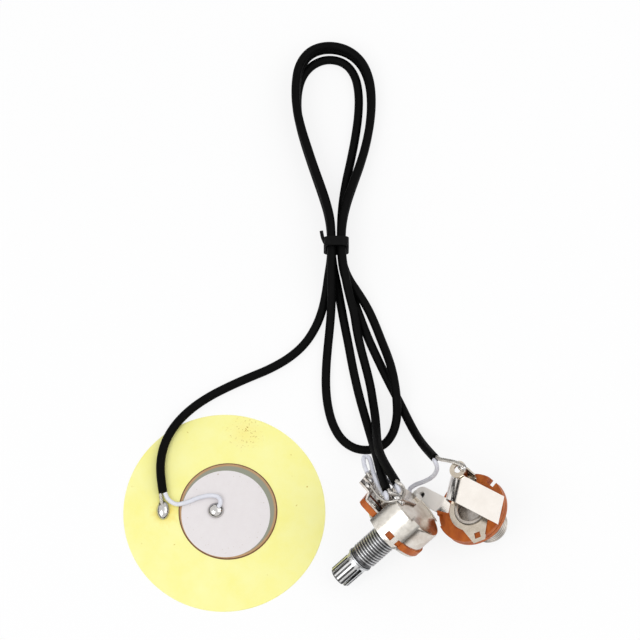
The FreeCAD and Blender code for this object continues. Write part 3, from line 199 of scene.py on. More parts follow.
# Heading of each window in the bracket's arms, in degrees, and how much wider it gets
ARM_WINDOWS = ((-110, 1.0), (-89, 1.25), (70, 1.0), (91, 1.25))
# Seen from its heading, a window's corners lie beyond a distance from the control's axis, within a distance
# to either side, and between two heights. It grows down from the upper one
WINDOW_FACE = 0.007
WINDOW_SIDE = 0.00085
WINDOW_LOW = -0.00225
WINDOW_HIGH = -0.00095
WINDOW_GROWTH = 1.4
# How much larger than its solid each joint on the disc is, in X, Y and Z
SOLDER_SIZES = {"silver_solder": (1.14, 1.25, 1.1), "brass_solder": (1.35, 1.48, 1.15)}

# Each finish: light colour, dark colour, blotch size per metre, roughness, metallic, grain size per metre,
# grain depth in micrometres
FINISHES = {
    "brass": ((0.965, 0.945, 0.42), (0.955, 0.915, 0.31), 110, 0.5, 0.15, 2600, 3),
    "glue": ((0.2, 0.08, 0.03), (0.12, 0.045, 0.018), 900, 0.5, 0.0, 3000, 10),
    "ceramic": ((0.54, 0.345, 0.185), (0.44, 0.26, 0.13), 320, 0.55, 0.0, 5000, 6),
    "silver": ((0.81, 0.775, 0.775), (0.79, 0.75, 0.75), 700, 0.5, 0.1, 7000, 4),
    "solder": ((0.66, 0.65, 0.64), (0.5, 0.49, 0.48), 700, 0.1, 1.0, 500, 8),
    "bare_wire": ((0.66, 0.64, 0.61), (0.4, 0.38, 0.35), 1300, 0.28, 1.0, 4000, 4),
    "white_insulation": ((0.8, 0.81, 0.87), (0.72, 0.73, 0.8), 500, 0.42, 0.0, 3000, 4),
    "black_jacket": ((0.003, 0.003, 0.003), (0.002, 0.002, 0.002), 500, 0.55, 0.0, 2600, 4),
    "tie_plastic": ((0.0035, 0.0035, 0.0035), (0.002, 0.002, 0.002), 700, 0.5, 0.0, 1500, 10),
    "nickel": ((0.82, 0.8, 0.75), (0.62, 0.59, 0.54), 420, 0.24, 1.0, 2600, 5),
    "can_nickel": ((0.86, 0.82, 0.76), (0.56, 0.48, 0.4), 230, 0.22, 1.0, 2200, 4),
    "grey_zinc": ((0.56, 0.57, 0.59), (0.4, 0.41, 0.42), 700, 0.32, 1.0, 3600, 6),
    "pot_thread": ((0.78, 0.79, 0.8), (0.6, 0.61, 0.62), 700, 0.3, 1.0, 3600, 5),
    # The jack's thread is darker than the control's: painted shade, as that side of the jack lies in shadow
    "jack_thread": ((0.62, 0.58, 0.53), (0.44, 0.4, 0.36), 700, 0.28, 1.0, 3600, 5),
    "splined_zinc": ((0.8, 0.81, 0.82), (0.62, 0.63, 0.64), 700, 0.28, 1.0, 3600, 5),
    "bright_nickel": ((0.99, 0.955, 0.91), (0.93, 0.89, 0.84), 260, 0.14, 1.0, 1800, 2),
    "lug_nickel": ((0.68, 0.62, 0.53), (0.5, 0.44, 0.36), 380, 0.2, 1.0, 2200, 4),
    "terminal_tin": ((0.58, 0.55, 0.52), (0.3, 0.26, 0.23), 900, 0.26, 1.0, 2600, 6),
    "phenolic": ((0.56, 0.145, 0.018), (0.36, 0.07, 0.008), 520, 0.42, 0.0, 2600, 9),
    "carbon": ((0.045, 0.045, 0.045), (0.025, 0.025, 0.025), 900, 0.6, 0.0, 4000, 5),
    "black_moulding": ((0.05, 0.05, 0.05), (0.03, 0.03, 0.03), 700, 0.5, 0.0, 3000, 6),
}
# Specular level of the finishes that mirror less than usual, and of all the others
SHINE = {
    "black_jacket": 0.05, "tie_plastic": 0.08, "brass": 0.2, "silver": 0.2,
    "phenolic": 0.3, "white_insulation": 0.3, "ceramic": 0.25,
}
USUAL_SHINE = 0.5
# Finish of each piece that doesn't look like the rest of its slot
SPECIAL_FINISHES = {
    "pot_can": "can_nickel", "jack_ground_lug": "lug_nickel", "pot_bushing": "pot_thread",
    "jack_bushing": "jack_thread", "pot_shaft": "splined_zinc",
}
# A negative inner radius leaves a ring filled to its axis
FILLED = -0.001
# Colour between two distances from an axis: the frame, the axis's foot in it, the radius inside which the
# finish is plain again, the radii where the ring ends and where the plain finish is back, and its colour
RINGS = {
    # On the two threads and the shaft's splines the colour is painted shade in their valleys
    "pot_thread": (POT_PLACE, (0, 0, 0), 0.0031, 0.0032, 0.00346, (0.11, 0.11, 0.115)),
    "jack_thread": (JACK_PLACE, (0, 0, 0), 0.0041, 0.00418, 0.00448, (0.04, 0.036, 0.032)),
    "splined_zinc": (POT_PLACE, (0, 0, 0), 0.00245, 0.00274, 0.00296, (0.08, 0.08, 0.08)),
    "ceramic": (DISC_PLACE, (0.0009, 0.00025, 0), FILLED, 0.0113, 0.0116, (0.3, 0.31, 0.24)),
}
# Round patches, as in RINGS but with no colour: the silver inside its speckled rim, the jack's flat solder
# lug, and a patch next to nothing, which leaves the whole disc to the specks
SILVER_MIDDLE = (DISC_PLACE, (0.00035, -0.00045, 0), FILLED, 0.007, 0.0095)
FLAT_LUG = (JACK_PLACE, (-0.0136, -0.0024, 0), FILLED, 0.0046, 0.0052)
NO_PATCH = (DISC_PLACE, (0, 0, 0), FILLED, 0.0, 0.0001)
# Burnt flux round the joint on the brass, and a faint patch near the disc's far edge: middle, radius of full
# strength, radius where it ends, and strength
STAINS = (
    ((-0.0145, 0.0001, 0.0003), 0.001, 0.0038, 0.62),
    ((0.0049, 0.0203, 0.0003), 0.0004, 0.005, 0.25),
)
STAIN_EDGE_SCALE = 900
# Specks: colour, scale per metre, and the noise above which they start; they are full a little above it
STAIN_SPECKS = ((0.42, 0.24, 0.03), 2100, 0.64)
BRASS_SPECKS = ((0.62, 0.47, 0.08), 700, 0.77)
SILVER_SPECKS = ((0.62, 0.55, 0.5), 1500, 0.69)
SPECK_EDGE = 0.06
# The phenolic's blotches are drawn out along Y
PHENOLIC_SCALE = (1.0, 0.35, 1.0)
BUMP_STRENGTH = 0.5

# Camera that was matched with the photo: place in metres, tilt in degrees, lens and sensor in millimetres
CAMERA_PLACE = (0.023676, -0.182744, 0.765451)
CAMERA_TILT = 16.9
CAMERA_LENS = 178.5
CAMERA_SENSOR = 36
# Share of plain white in what the camera sees of the floor
FLOOR_GLOW = 0.82
# Light from all round, and what shiny pieces mirror: a colour at the horizon, then a warm grey at each
# height, up to white at 1 overhead
SURROUNDINGS = (0.66, 0.66, 0.67, 1)
HORIZON = (0.5, 0.48, 0.46, 1)
WHITE = (1, 1, 1, 1)
MIRRORED = ((0.05, 0.42), (0.08, 0.015), (0.29, 0.015), (0.33, 1.0))
WARMTH = (1, 0.97, 0.94)
# Each lamp: name, place, the point that it lights, power in watts, and size in metres
LAMPS = (
    ("key", (-0.35, -0.25, 0.7), (0.02, 0.03, 0), 1.95, 0.5),
    ("fill", (0.5, 0.1, 0.55), (0.03, 0.03, 0), 1.15, 0.6),
)


class PickupSizes(bpy.types.PropertyGroup):
    cable_diameter: bpy.props.FloatProperty(
        name="Cable diameter", description="Outer diameter of the black shielded cable",
        default=0.0022, min=0.001, unit="LENGTH")
    pot_pitch: bpy.props.FloatProperty(
        name="Control thread pitch", description="Crest to crest on the control's bushing",
        default=0.00075, min=0.0003, unit="LENGTH")
    jack_pitch: bpy.props.FloatProperty(
        name="Jack thread pitch", description="Crest to crest on the jack's bushing",
        default=0.0008, min=0.0003, unit="LENGTH")
    thread_depth: bpy.props.FloatProperty(
        name="Thread depth", description="Crest to root, on the radius",
        default=0.00034, min=0.0001, unit="LENGTH")
    strand_diameter: bpy.props.FloatProperty(
        name="Strand diameter", description="One strand of a twisted bare shield",
        default=0.00038, min=0.0001, unit="LENGTH")
    strand_twist: bpy.props.FloatProperty(
        name="Strand twist", description="Length of one full turn of a shield's strands",
        default=0.003, min=0.001, unit="LENGTH")


class PickupColours(bpy.types.PropertyGroup):
    stain: bpy.props.FloatVectorProperty(
        name="Flux stain", description="Burnt flux round the joint on the brass",
        default=(0.93, 0.68, 0.1), min=0.0, max=1.0, subtype="COLOR")
    floor: bpy.props.FloatVectorProperty(
        name="Floor", description="Pale floor under the pickup",
        default=(0.96, 0.96, 0.96), min=0.0, max=1.0, subtype="COLOR")


# Small steps that every piece uses

def pick_only(piece):
    bpy.ops.object.select_all(action="DESELECT")
    piece.select_set(True)
    bpy.context.view_layer.objects.active = piece


def edit_all(piece, action="SELECT"):
    pick_only(piece)
    bpy.ops.object.mode_set(mode="EDIT")
    bpy.ops.mesh.select_all(action=action)


def edit_some(piece, wanted):
    """Edit mode with only those points selected whose x, y and z pass the test."""
    edit_all(piece, "DESELECT")
    net = bmesh.from_edit_mesh(piece.data)
    for vertex in net.verts:
        vertex.select = wanted(*vertex.co)
    net.select_flush_mode()
    bmesh.update_edit_mesh(piece.data)


def leave_edit():
    bpy.ops.object.mode_set(mode="OBJECT")


def weld_all(distance):
    bpy.ops.mesh.select_all(action="SELECT")
    bpy.ops.mesh.remove_doubles(threshold=distance)


def apply_modifier(piece, modifier):
    pick_only(piece)
    bpy.ops.object.modifier_apply(modifier=modifier.name)


def smooth(piece, degrees):
    """Smooth shading, except over edges that turn by more than the angle."""
    pick_only(piece)
    bpy.ops.object.shade_smooth_by_angle(angle=math.radians(degrees))


def stand_for(piece, node, body="pickup"):
    """The piece rides with its body, takes the node's slot and is shown instead of it."""
    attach(piece, body)
    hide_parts(node)
    piece["finish"] = SPECIAL_FINISHES.get(node, SLOT_OF[node])


def put_in_place(piece, place):
    """The piece's mesh moved by a matrix, with its object left at the origin."""
    piece.matrix_world = place
    pick_only(piece)
    bpy.ops.object.transform_apply(location=True, rotation=True, scale=True)


def copied(node, name):
    """A welded copy of a solid, ready to be worked on."""
    mesh = frame["nodes"][node].data.copy()
    piece = bpy.data.objects.new(name, mesh)
    bpy.context.scene.collection.objects.link(piece)
    edit_all(piece)
    weld_all(COPIED_WELD)
    bpy.ops.mesh.dissolve_limited(angle_limit=math.radians(0.6))
    leave_edit()
    return piece


def body_of(node):
    for body, members in frame["record"]["behaviour"]["bodies"].items():
        if node in members:
            return body
    raise RuntimeError("no body holds " + node)


SLOT_OF = {part["node"]: part["material_slot"] for part in frame["record"]["subparts"]}


def spun(name, profile, place):
    """A closed profile of (radius, height) points in metres, spun about the frame's axis."""
    bpy.ops.object.select_all(action="DESELECT")
    bpy.ops.mesh.primitive_plane_add(size=MM)
    piece = bpy.context.object
    piece.name = name
    edit_all(piece)
    bpy.ops.mesh.merge(type="CENTER")
    radius, height = profile[0]
    bpy.ops.transform.translate(value=(radius, 0, height))
    for far, high in profile[1:] + profile[:1]:
        bpy.ops.mesh.extrude_vertices_move(
            TRANSFORM_OT_translate={"value": (far - radius, 0, high - height)})
        radius, height = far, high
    weld_all(TURNED_WELD)
    bpy.ops.mesh.select_all(action="SELECT")
    bpy.ops.mesh.spin(steps=TURN_STEPS, angle=2 * math.pi, center=(0, 0, 0), axis=(0, 0, 1))
    weld_all(TURNED_WELD)
    bpy.ops.mesh.normals_make_consistent(inside=False)
    leave_edit()
    put_in_place(piece, place)
    return piece


def in_metres(points):
    """Profile points that are given in millimetres."""
    return [(radius * MM, height * MM) for radius, height in points]


def thread(low, high, crest, pitch, depth):
    """Profile points of a rolled thread from low to high, in metres."""
    points = []
    for number in range(int((high - low) / pitch)):
        start = low + number * pitch
        points += [(crest if on_crest else crest - depth, start + share * pitch)
                   for share, on_crest in THREAD_TURN]
    return points


def route_curve(name, points, depth):
    """A smooth open curve that listed points pull, round and solid where its depth isn't 0."""
    curve = bpy.data.curves.new(name, "CURVE")
    curve.dimensions = "3D"
    line = curve.splines.new("NURBS")
    line.points.add(len(points) - 1)
    for spot, point in zip(points, line.points):
        point.co = (*spot, 1.0)
        point.radius = depth
    line.order_u = 3
    line.use_endpoint_u = True
    line.resolution_u = 10
    # The points' radius gives the thickness, because a curve's bound box grows by it whatever the bevel
    curve.bevel_depth = 1.0 if depth else 0.0
    curve.bevel_resolution = 6
    curve.use_fill_caps = depth > 0
    piece = bpy.data.objects.new(name, curve)
    bpy.context.scene.collection.objects.link(piece)
    return piece


def line_of(points):
    """Points read from the smooth curve that the listed points pull."""
    guide = route_curve("guide", points, 0.0)
    bpy.context.view_layer.update()
    mesh = bpy.data.meshes.new_from_object(guide.evaluated_get(bpy.context.evaluated_depsgraph_get()))
    line = [vertex.co.copy() for vertex in mesh.vertices]
    bpy.data.objects.remove(guide)
    bpy.data.meshes.remove(mesh)
    return line


def colour_mix(nodes):
    """A node that mixes colours A and B."""
    mix = nodes.new("ShaderNodeMix")
    mix.data_type = "RGBA"
    return mix


def maths(nodes, operation, second=None):
    """A node for one step of arithmetic, with its second number where that one is fixed."""
    step = nodes.new("ShaderNodeMath")
    step.operation = operation
    if second is not None:
        step.inputs[1].default_value = second
    return step


def span(nodes, low=0.0, high=1.0, start=0.0, end=1.0):
    """A node that turns the range from low to high into the one from start to end."""
    step = nodes.new("ShaderNodeMapRange")
    for name, value in (("From Min", low), ("From Max", high), ("To Min", start), ("To Max", end)):
        step.inputs[name].default_value = value
    return step


class PICKUP_OT_stage(bpy.types.Operator):
    """Camera, pale floor and soft studio light"""
    bl_idname = "pickup.stage"
    bl_label = "Stage"

    def execute(self, context):
        self.add_camera(context)
        self.add_floor(context)
        self.add_world(context)
        self.add_lamps(context)
        context.scene.view_settings.view_transform = "Standard"
        return {"FINISHED"}

    def add_camera(self, context):
        bpy.ops.object.select_all(action="DESELECT")
        bpy.ops.object.camera_add(location=CAMERA_PLACE, rotation=(math.radians(CAMERA_TILT), 0, 0))
        camera = context.object
        camera.data.sensor_width = CAMERA_SENSOR
        camera.data.lens = CAMERA_LENS
        camera.data.clip_start = 0.01
        context.scene.camera = camera

    def add_floor(self, context):
        bpy.ops.object.select_all(action="DESELECT")
        bpy.ops.mesh.primitive_plane_add(size=4)
        floor = context.object
        floor.name = "floor"
        paint = bpy.data.materials.new("pale_floor")
        paint.use_nodes = True
        nodes = paint.node_tree.nodes
        links = paint.node_tree.links
        shader = nodes["Principled BSDF"]
        shader.inputs["Base Color"].default_value = (*context.scene.pickup_colours.floor, 1)
        shader.inputs["Roughness"].default_value = 0.9
        glow = nodes.new("ShaderNodeEmission")
        path = nodes.new("ShaderNodeLightPath")
        share = maths(nodes, "MULTIPLY", FLOOR_GLOW)
        blend = nodes.new("ShaderNodeMixShader")
        links.new(path.outputs["Is Camera Ray"], share.inputs[0])
        links.new(share.outputs[0], blend.inputs[0])
        links.new(shader.outputs[0], blend.inputs[1])
        links.new(glow.outputs[0], blend.inputs[2])
        links.new(blend.outputs[0], nodes["Material Output"].inputs["Surface"])
        floor.data.materials.append(paint)

    def add_world(self, context):
        """White for the camera, bands of grey for what is mirrored, and an even grey as light."""
        world = bpy.data.worlds.new("studio")
        context.scene.world = world
        world.use_nodes = True
        nodes = world.node_tree.nodes
        links = world.node_tree.links
        back = nodes["Background"]
        path = nodes.new("ShaderNodeLightPath")
        way = nodes.new("ShaderNodeTexCoord")
        split = nodes.new("ShaderNodeSeparateXYZ")
        ramp = nodes.new("ShaderNodeValToRGB")
        stops = ramp.color_ramp.elements
        stops[0].color = HORIZON
        stops[1].color = WHITE
        for height, grey in MIRRORED:
            stops.new(height).color = (*(grey * share for share in WARMTH), 1)
        pick = colour_mix(nodes)
        pick.inputs["A"].default_value = SURROUNDINGS
        shine = colour_mix(nodes)
        shine.inputs["B"].default_value = WHITE
        links.new(way.outputs["Generated"], split.inputs["Vector"])
        links.new(split.outputs["Z"], ramp.inputs["Fac"])
        links.new(path.outputs["Is Glossy Ray"], pick.inputs["Factor"])
        links.new(ramp.outputs["Color"], pick.inputs["B"])
        links.new(path.outputs["Is Camera Ray"], shine.inputs["Factor"])
        links.new(pick.outputs["Result"], shine.inputs["A"])
        links.new(shine.outputs["Result"], back.inputs["Color"])

    def add_lamps(self, context):
        for name, place, aim, power, size in LAMPS:
            bpy.ops.object.select_all(action="DESELECT")
            bpy.ops.object.light_add(type="AREA", location=place)
            lamp = context.object
            lamp.name = name
            lamp.data.energy = power
            lamp.data.size = size
            lamp.rotation_euler = (Vector(aim) - Vector(place)).to_track_quat("-Z", "Y").to_euler()


class PICKUP_OT_cables(bpy.types.Operator):
    """The two free black cables, on their listed routes"""
    bl_idname = "pickup.cables"
    bl_label = "Cables"

    def execute(self, context):
        diameter = context.scene.pickup_sizes.cable_diameter
        for node, (route, length) in CABLES.items():
            piece = route_curve("jacket_" + node, route, diameter / 2)
            stand_for(piece, node)
        return {"FINISHED"}


class PICKUP_OT_shields(bpy.types.Operator):
    """Bare shields, each a few strands twisted together"""
    bl_idname = "pickup.shields"
    bl_label = "Twisted shields"

    def execute(self, context):
        sizes = context.scene.pickup_sizes
        for node, route in TWISTED_SHIELDS.items():
            self.twist(node, line_of(route), sizes.strand_diameter, sizes.strand_twist)
        return {"FINISHED"}

    def twist(self, node, line, thickness, pitch):
        curve = bpy.data.curves.new("strands_" + node, "CURVE")
        curve.dimensions = "3D"
        curve.bevel_depth = thickness / 2
        curve.bevel_resolution = 3
        curve.use_fill_caps = True
        # One direction square to the line at each point, carried along without turning about the line
        side = (line[1] - line[0]).orthogonal().normalized()
        sides = [side]
        for number in range(1, len(line)):
            ahead = (line[number] - line[number - 1]).normalized()
            side = (side - ahead * side.dot(ahead)).normalized()
            sides.append(side)
        for strand in range(STRANDS):
            run = curve.splines.new("POLY")
            run.points.add(len(line) - 1)
            gone = 0.0
            for number, spot in enumerate(line):
                if number:
                    gone += (spot - line[number - 1]).length
                back = line[max(number - 1, 0)]
                ahead = (line[min(number + 1, len(line) - 1)] - back).normalized()
                angle = 2 * math.pi * (strand / STRANDS + gone / pitch)
                across = Matrix.Rotation(angle, 3, ahead) @ sides[number]
                run.points[number].co = (*(spot + across * thickness * STRAND_SPREAD), 1.0)
        piece = bpy.data.objects.new("strands_" + node, curve)
        bpy.context.scene.collection.objects.link(piece)
        pick_only(piece)
        bpy.ops.object.convert(target="MESH")
        piece = bpy.context.object
        smooth(piece, degrees=60)
        stand_for(piece, node)


class PICKUP_OT_solder(bpy.types.Operator):
    """Solder joints: a rounded top that runs out in a thin skirt"""
    bl_idname = "pickup.solder"
    bl_label = "Solder joints"

    def execute(self, context):
        joints = sorted(node for node, slot in SLOT_OF.items() if slot == "solder")
        for seed, node in enumerate(joints):
            piece = copied(node, "joint_" + node)
            remesh = piece.modifiers.new("even", "REMESH")
            remesh.mode = "VOXEL"
            remesh.voxel_size = SOLDER_CELL
            apply_modifier(piece, remesh)
            edit_all(piece)
            bpy.ops.transform.vertex_random(offset=SOLDER_BUMPS, normal=1.0, seed=seed)
            bpy.ops.mesh.vertices_smooth(factor=0.5, repeat=10)
            if node in SOLDER_SIZES:
                corners = frame["nodes"][node].bound_box
                low, high = Vector(corners[0]), Vector(corners[6])
                bpy.ops.transform.resize(
                    value=SOLDER_SIZES[node],
                    center_override=((low.x + high.x) / 2, (low.y + high.y) / 2, low.z))
            leave_edit()
            smooth(piece, degrees=180)
            stand_for(piece, node)
        return {"FINISHED"}


class PICKUP_OT_bushings(bpy.types.Operator):
    """Threaded bushings of the control and of the jack"""
    bl_idname = "pickup.bushings"
    bl_label = "Threaded bushings"

    def execute(self, context):
        sizes = context.scene.pickup_sizes
        bore = 3.05
        profile = in_metres((
            (bore, -1.3), (3.95, -1.3), (3.95, -0.8), (3.5, -0.8), (3.5, 0),
            (4.65, 0), (4.7, 0.05), (4.7, 0.5), (4.6, 0.6), (3.2, 0.6),
        ))
        profile += thread(0.7 * MM, 10.2 * MM, 3.5 * MM, sizes.pot_pitch, sizes.thread_depth)
        profile += in_metres(((3.2, 10.25), (3.3, 10.3), (3.2, 10.6), (bore, 10.6)))
        piece = spun("threaded_pot_bushing", profile, POT_PLACE)
        smooth(piece, degrees=20)
        stand_for(piece, "pot_bushing")
        bore = 3.25
        root = 4.5 - sizes.thread_depth / MM
        profile = in_metres(((bore, -11.9), (bore + 0.5, -12.4), (4.2, -12.4), (root, -12.15)))
        profile += thread(-12.1 * MM, -4.1 * MM, 4.5 * MM, sizes.jack_pitch, sizes.thread_depth)
        profile += in_metres((
            (root, -3.9), (root, -3.7), (6.9, -3.7), (7.0, -3.6), (7.0, -2.95), (6.95, -2.9),
            (3.8, -2.9), (3.8, 0.5), (4.2, 0.5), (4.3, 0.62), (4.28, 0.82), (4.1, 0.97),
            (3.85, 1.0), (3.5, 0.98), (3.32, 0.86), (bore, 0.65),
        ))
        piece = spun("threaded_jack_bushing", profile, JACK_PLACE)
        smooth(piece, degrees=25)
        stand_for(piece, "jack_bushing")
        return {"FINISHED"}


class PICKUP_OT_soft_edges(bpy.types.Operator):
    """Pressed and turned pieces with the small round edge that real ones have"""
    bl_idname = "pickup.soft_edges"
    bl_label = "Soft edges"

    def execute(self, context):
        for node, width in SOFT_EDGES.items():
            piece = copied(node, "soft_" + node)
            if node in LAYER_SIZES:
                share, middle = LAYER_SIZES[node]
                edit_all(piece)
                bpy.ops.transform.resize(value=(share, share, 1), center_override=middle)
                leave_edit()
            if node in RIM_TRIM:
                self.trim_rim(piece, RIM_TRIM[node])
            if node == "pot_bracket":
                self.widen_windows(piece)
            if node == "jack_tip_spring":
                self.shorten_leaf(piece)
            edge = piece.modifiers.new("edge", "BEVEL")
            edge.width = width * MM
            edge.segments = 2
            edge.limit_method = "ANGLE"
            edge.angle_limit = math.radians(35)
            apply_modifier(piece, edge)
            smooth(piece, degrees=32)
            flat = piece.modifiers.new("flat", "WEIGHTED_NORMAL")
            flat.weight = 100
            flat.keep_sharp = True
            apply_modifier(piece, flat)
            stand_for(piece, node, body_of(node))
        for node in SMOOTH_WIRES:
            piece = copied(node, "smooth_" + node)
            smooth(piece, degrees=60)
            stand_for(piece, node)
        return {"FINISHED"}

    def trim_rim(self, piece, share):
        """The wafer's rim drawn in towards the solder lugs, so that the thread shows past it."""
        put_in_place(piece, JACK_PLACE.inverted())
        edit_some(piece, lambda x, y, z: math.hypot(x, y) > RIM_START)
        bpy.ops.transform.resize(value=(share, share, 1), center_override=RIM_GOAL)
        leave_edit()
        put_in_place(piece, JACK_PLACE)

    def widen_windows(self, piece):
        """The arms' windows drawn out to the size that the photo shows."""
        for heading, wider in ARM_WINDOWS:
            place = POT_PLACE @ Matrix.Rotation(math.radians(heading), 4, "Z")
            put_in_place(piece, place.inverted())
            edit_some(piece, lambda x, y, z: (
                x > WINDOW_FACE and abs(y) < WINDOW_SIDE and WINDOW_LOW < z < WINDOW_HIGH))
            bpy.ops.transform.resize(
                value=(1, wider, WINDOW_GROWTH), center_override=(0, 0, WINDOW_HIGH))
            leave_edit()
            put_in_place(piece, place)

    def shorten_leaf(self, piece):
        """The free end of the leaf cut back across its own length."""
        put_in_place(piece, JACK_PLACE.inverted())
        edit_all(piece)
        way = (math.cos(LEAF_TURN), math.sin(LEAF_TURN), 0)
        bpy.ops.mesh.bisect(plane_co=(way[0] * LEAF_END, way[1] * LEAF_END, 0), plane_no=way,
                            clear_outer=True, use_fill=True)
        leave_edit()
        put_in_place(piece, JACK_PLACE)


# Shared effects

def new_group(name, inputs, outputs):
    """A group with its first and last node. A socket is a name, a kind and, if it needs one, a default."""
    group = bpy.data.node_groups.new(name, "ShaderNodeTree")
    for way, sockets in (("INPUT", inputs), ("OUTPUT", outputs)):
        for label, kind, *value in sockets:
            item = group.interface.new_socket(name=label, in_out=way, socket_type="NodeSocket" + kind)
            if value:
                item.default_value = value[0]
    return group, group.nodes.new("NodeGroupInput"), group.nodes.new("NodeGroupOutput")


def blotch_group():
    """Two colours mixed in soft blotches."""
    group, entry, leave = new_group(
        "Blotches",
        (("Vector", "Vector"), ("Scale", "Float"), ("Light", "Color"), ("Dark", "Color")),
        (("Color", "Color"),))
    nodes = group.nodes
    links = group.links
    noise = nodes.new("ShaderNodeTexNoise")
    noise.inputs["Detail"].default_value = 5.0
    noise.inputs["Roughness"].default_value = 0.62
    reach = span(nodes, 0.32, 0.68)
    mix = colour_mix(nodes)
    links.new(entry.outputs["Vector"], noise.inputs["Vector"])
    links.new(entry.outputs["Scale"], noise.inputs["Scale"])
    links.new(noise.outputs["Fac"], reach.inputs["Value"])
    links.new(reach.outputs["Result"], mix.inputs["Factor"])
    links.new(entry.outputs["Light"], mix.inputs["A"])
    links.new(entry.outputs["Dark"], mix.inputs["B"])
    links.new(mix.outputs["Result"], leave.inputs["Color"])
    return group


def grain_group():
    """Fine grain: a height for the bump and a roughness that follows it."""
    group, entry, leave = new_group(
        "Grain",
        (("Vector", "Vector"), ("Scale", "Float"), ("Roughness", "Float"), ("Spread", "Float", 0.12)),
        (("Height", "Float"), ("Roughness", "Float")))
    nodes = group.nodes
    links = group.links
    noise = nodes.new("ShaderNodeTexNoise")
    noise.inputs["Detail"].default_value = 3.0
    middle = maths(nodes, "SUBTRACT", 0.5)
    swing = maths(nodes, "MULTIPLY_ADD")
    swing.use_clamp = True
    links.new(entry.outputs["Vector"], noise.inputs["Vector"])
    links.new(entry.outputs["Scale"], noise.inputs["Scale"])
    links.new(noise.outputs["Fac"], middle.inputs[0])
    links.new(middle.outputs[0], swing.inputs[0])
    links.new(entry.outputs["Spread"], swing.inputs[1])
    links.new(entry.outputs["Roughness"], swing.inputs[2])
    links.new(noise.outputs["Fac"], leave.inputs["Height"])
    links.new(swing.outputs[0], leave.inputs["Roughness"])
    return group


def ring_group():
    """0 between two distances from an axis, 1 elsewhere."""
    group, entry, leave = new_group(
        "Ring",
        [(name, "Vector") for name in ("Vector", "Foot", "Axis")]
        + [(name, "Float") for name in ("Inner", "Root", "Crest")],
        (("Mask", "Float"),))
    nodes = group.nodes
    links = group.links
    steps = {}
    for name in ("SUBTRACT", "CROSS_PRODUCT", "LENGTH"):
        steps[name] = nodes.new("ShaderNodeVectorMath")
        steps[name].operation = name
    outer = span(nodes)
    inner = span(nodes, start=1.0, end=0.0)
    wider = maths(nodes, "ADD", 0.05 * MM)
    both = maths(nodes, "MAXIMUM")
    links.new(entry.outputs["Vector"], steps["SUBTRACT"].inputs[0])
    links.new(entry.outputs["Foot"], steps["SUBTRACT"].inputs[1])
    links.new(steps["SUBTRACT"].outputs["Vector"], steps["CROSS_PRODUCT"].inputs[0])
    links.new(entry.outputs["Axis"], steps["CROSS_PRODUCT"].inputs[1])
    links.new(steps["CROSS_PRODUCT"].outputs["Vector"], steps["LENGTH"].inputs[0])
    links.new(steps["LENGTH"].outputs["Value"], outer.inputs["Value"])
    links.new(entry.outputs["Root"], outer.inputs["From Min"])
    links.new(entry.outputs["Crest"], outer.inputs["From Max"])
    links.new(entry.outputs["Inner"], wider.inputs[0])
    links.new(steps["LENGTH"].outputs["Value"], inner.inputs["Value"])
    links.new(entry.outputs["Inner"], inner.inputs["From Min"])
    links.new(wider.outputs[0], inner.inputs["From Max"])
    links.new(outer.outputs["Result"], both.inputs[0])
    links.new(inner.outputs["Result"], both.inputs[1])
    links.new(both.outputs[0], leave.inputs["Mask"])
    return group


def spot_mask(tree, vector, centre, inner, outer):
    """A round mask: 1 inside, 0 outside, with an uneven edge."""
    nodes = tree.nodes
    links = tree.links
    noise = nodes.new("ShaderNodeTexNoise")
    noise.inputs["Scale"].default_value = STAIN_EDGE_SCALE
    noise.inputs["Detail"].default_value = 4
    far = nodes.new("ShaderNodeVectorMath")
    far.operation = "DISTANCE"
    far.inputs[1].default_value = centre
    wander = maths(nodes, "MULTIPLY_ADD", outer)
    reach = span(nodes, inner + outer / 2, outer + outer / 2, 1.0, 0.0)
    links.new(vector, noise.inputs["Vector"])
    links.new(vector, far.inputs[0])
    links.new(noise.outputs["Fac"], wander.inputs[0])
    links.new(far.outputs["Value"], wander.inputs[2])
    links.new(wander.outputs[0], reach.inputs["Value"])
    return reach.outputs["Result"]


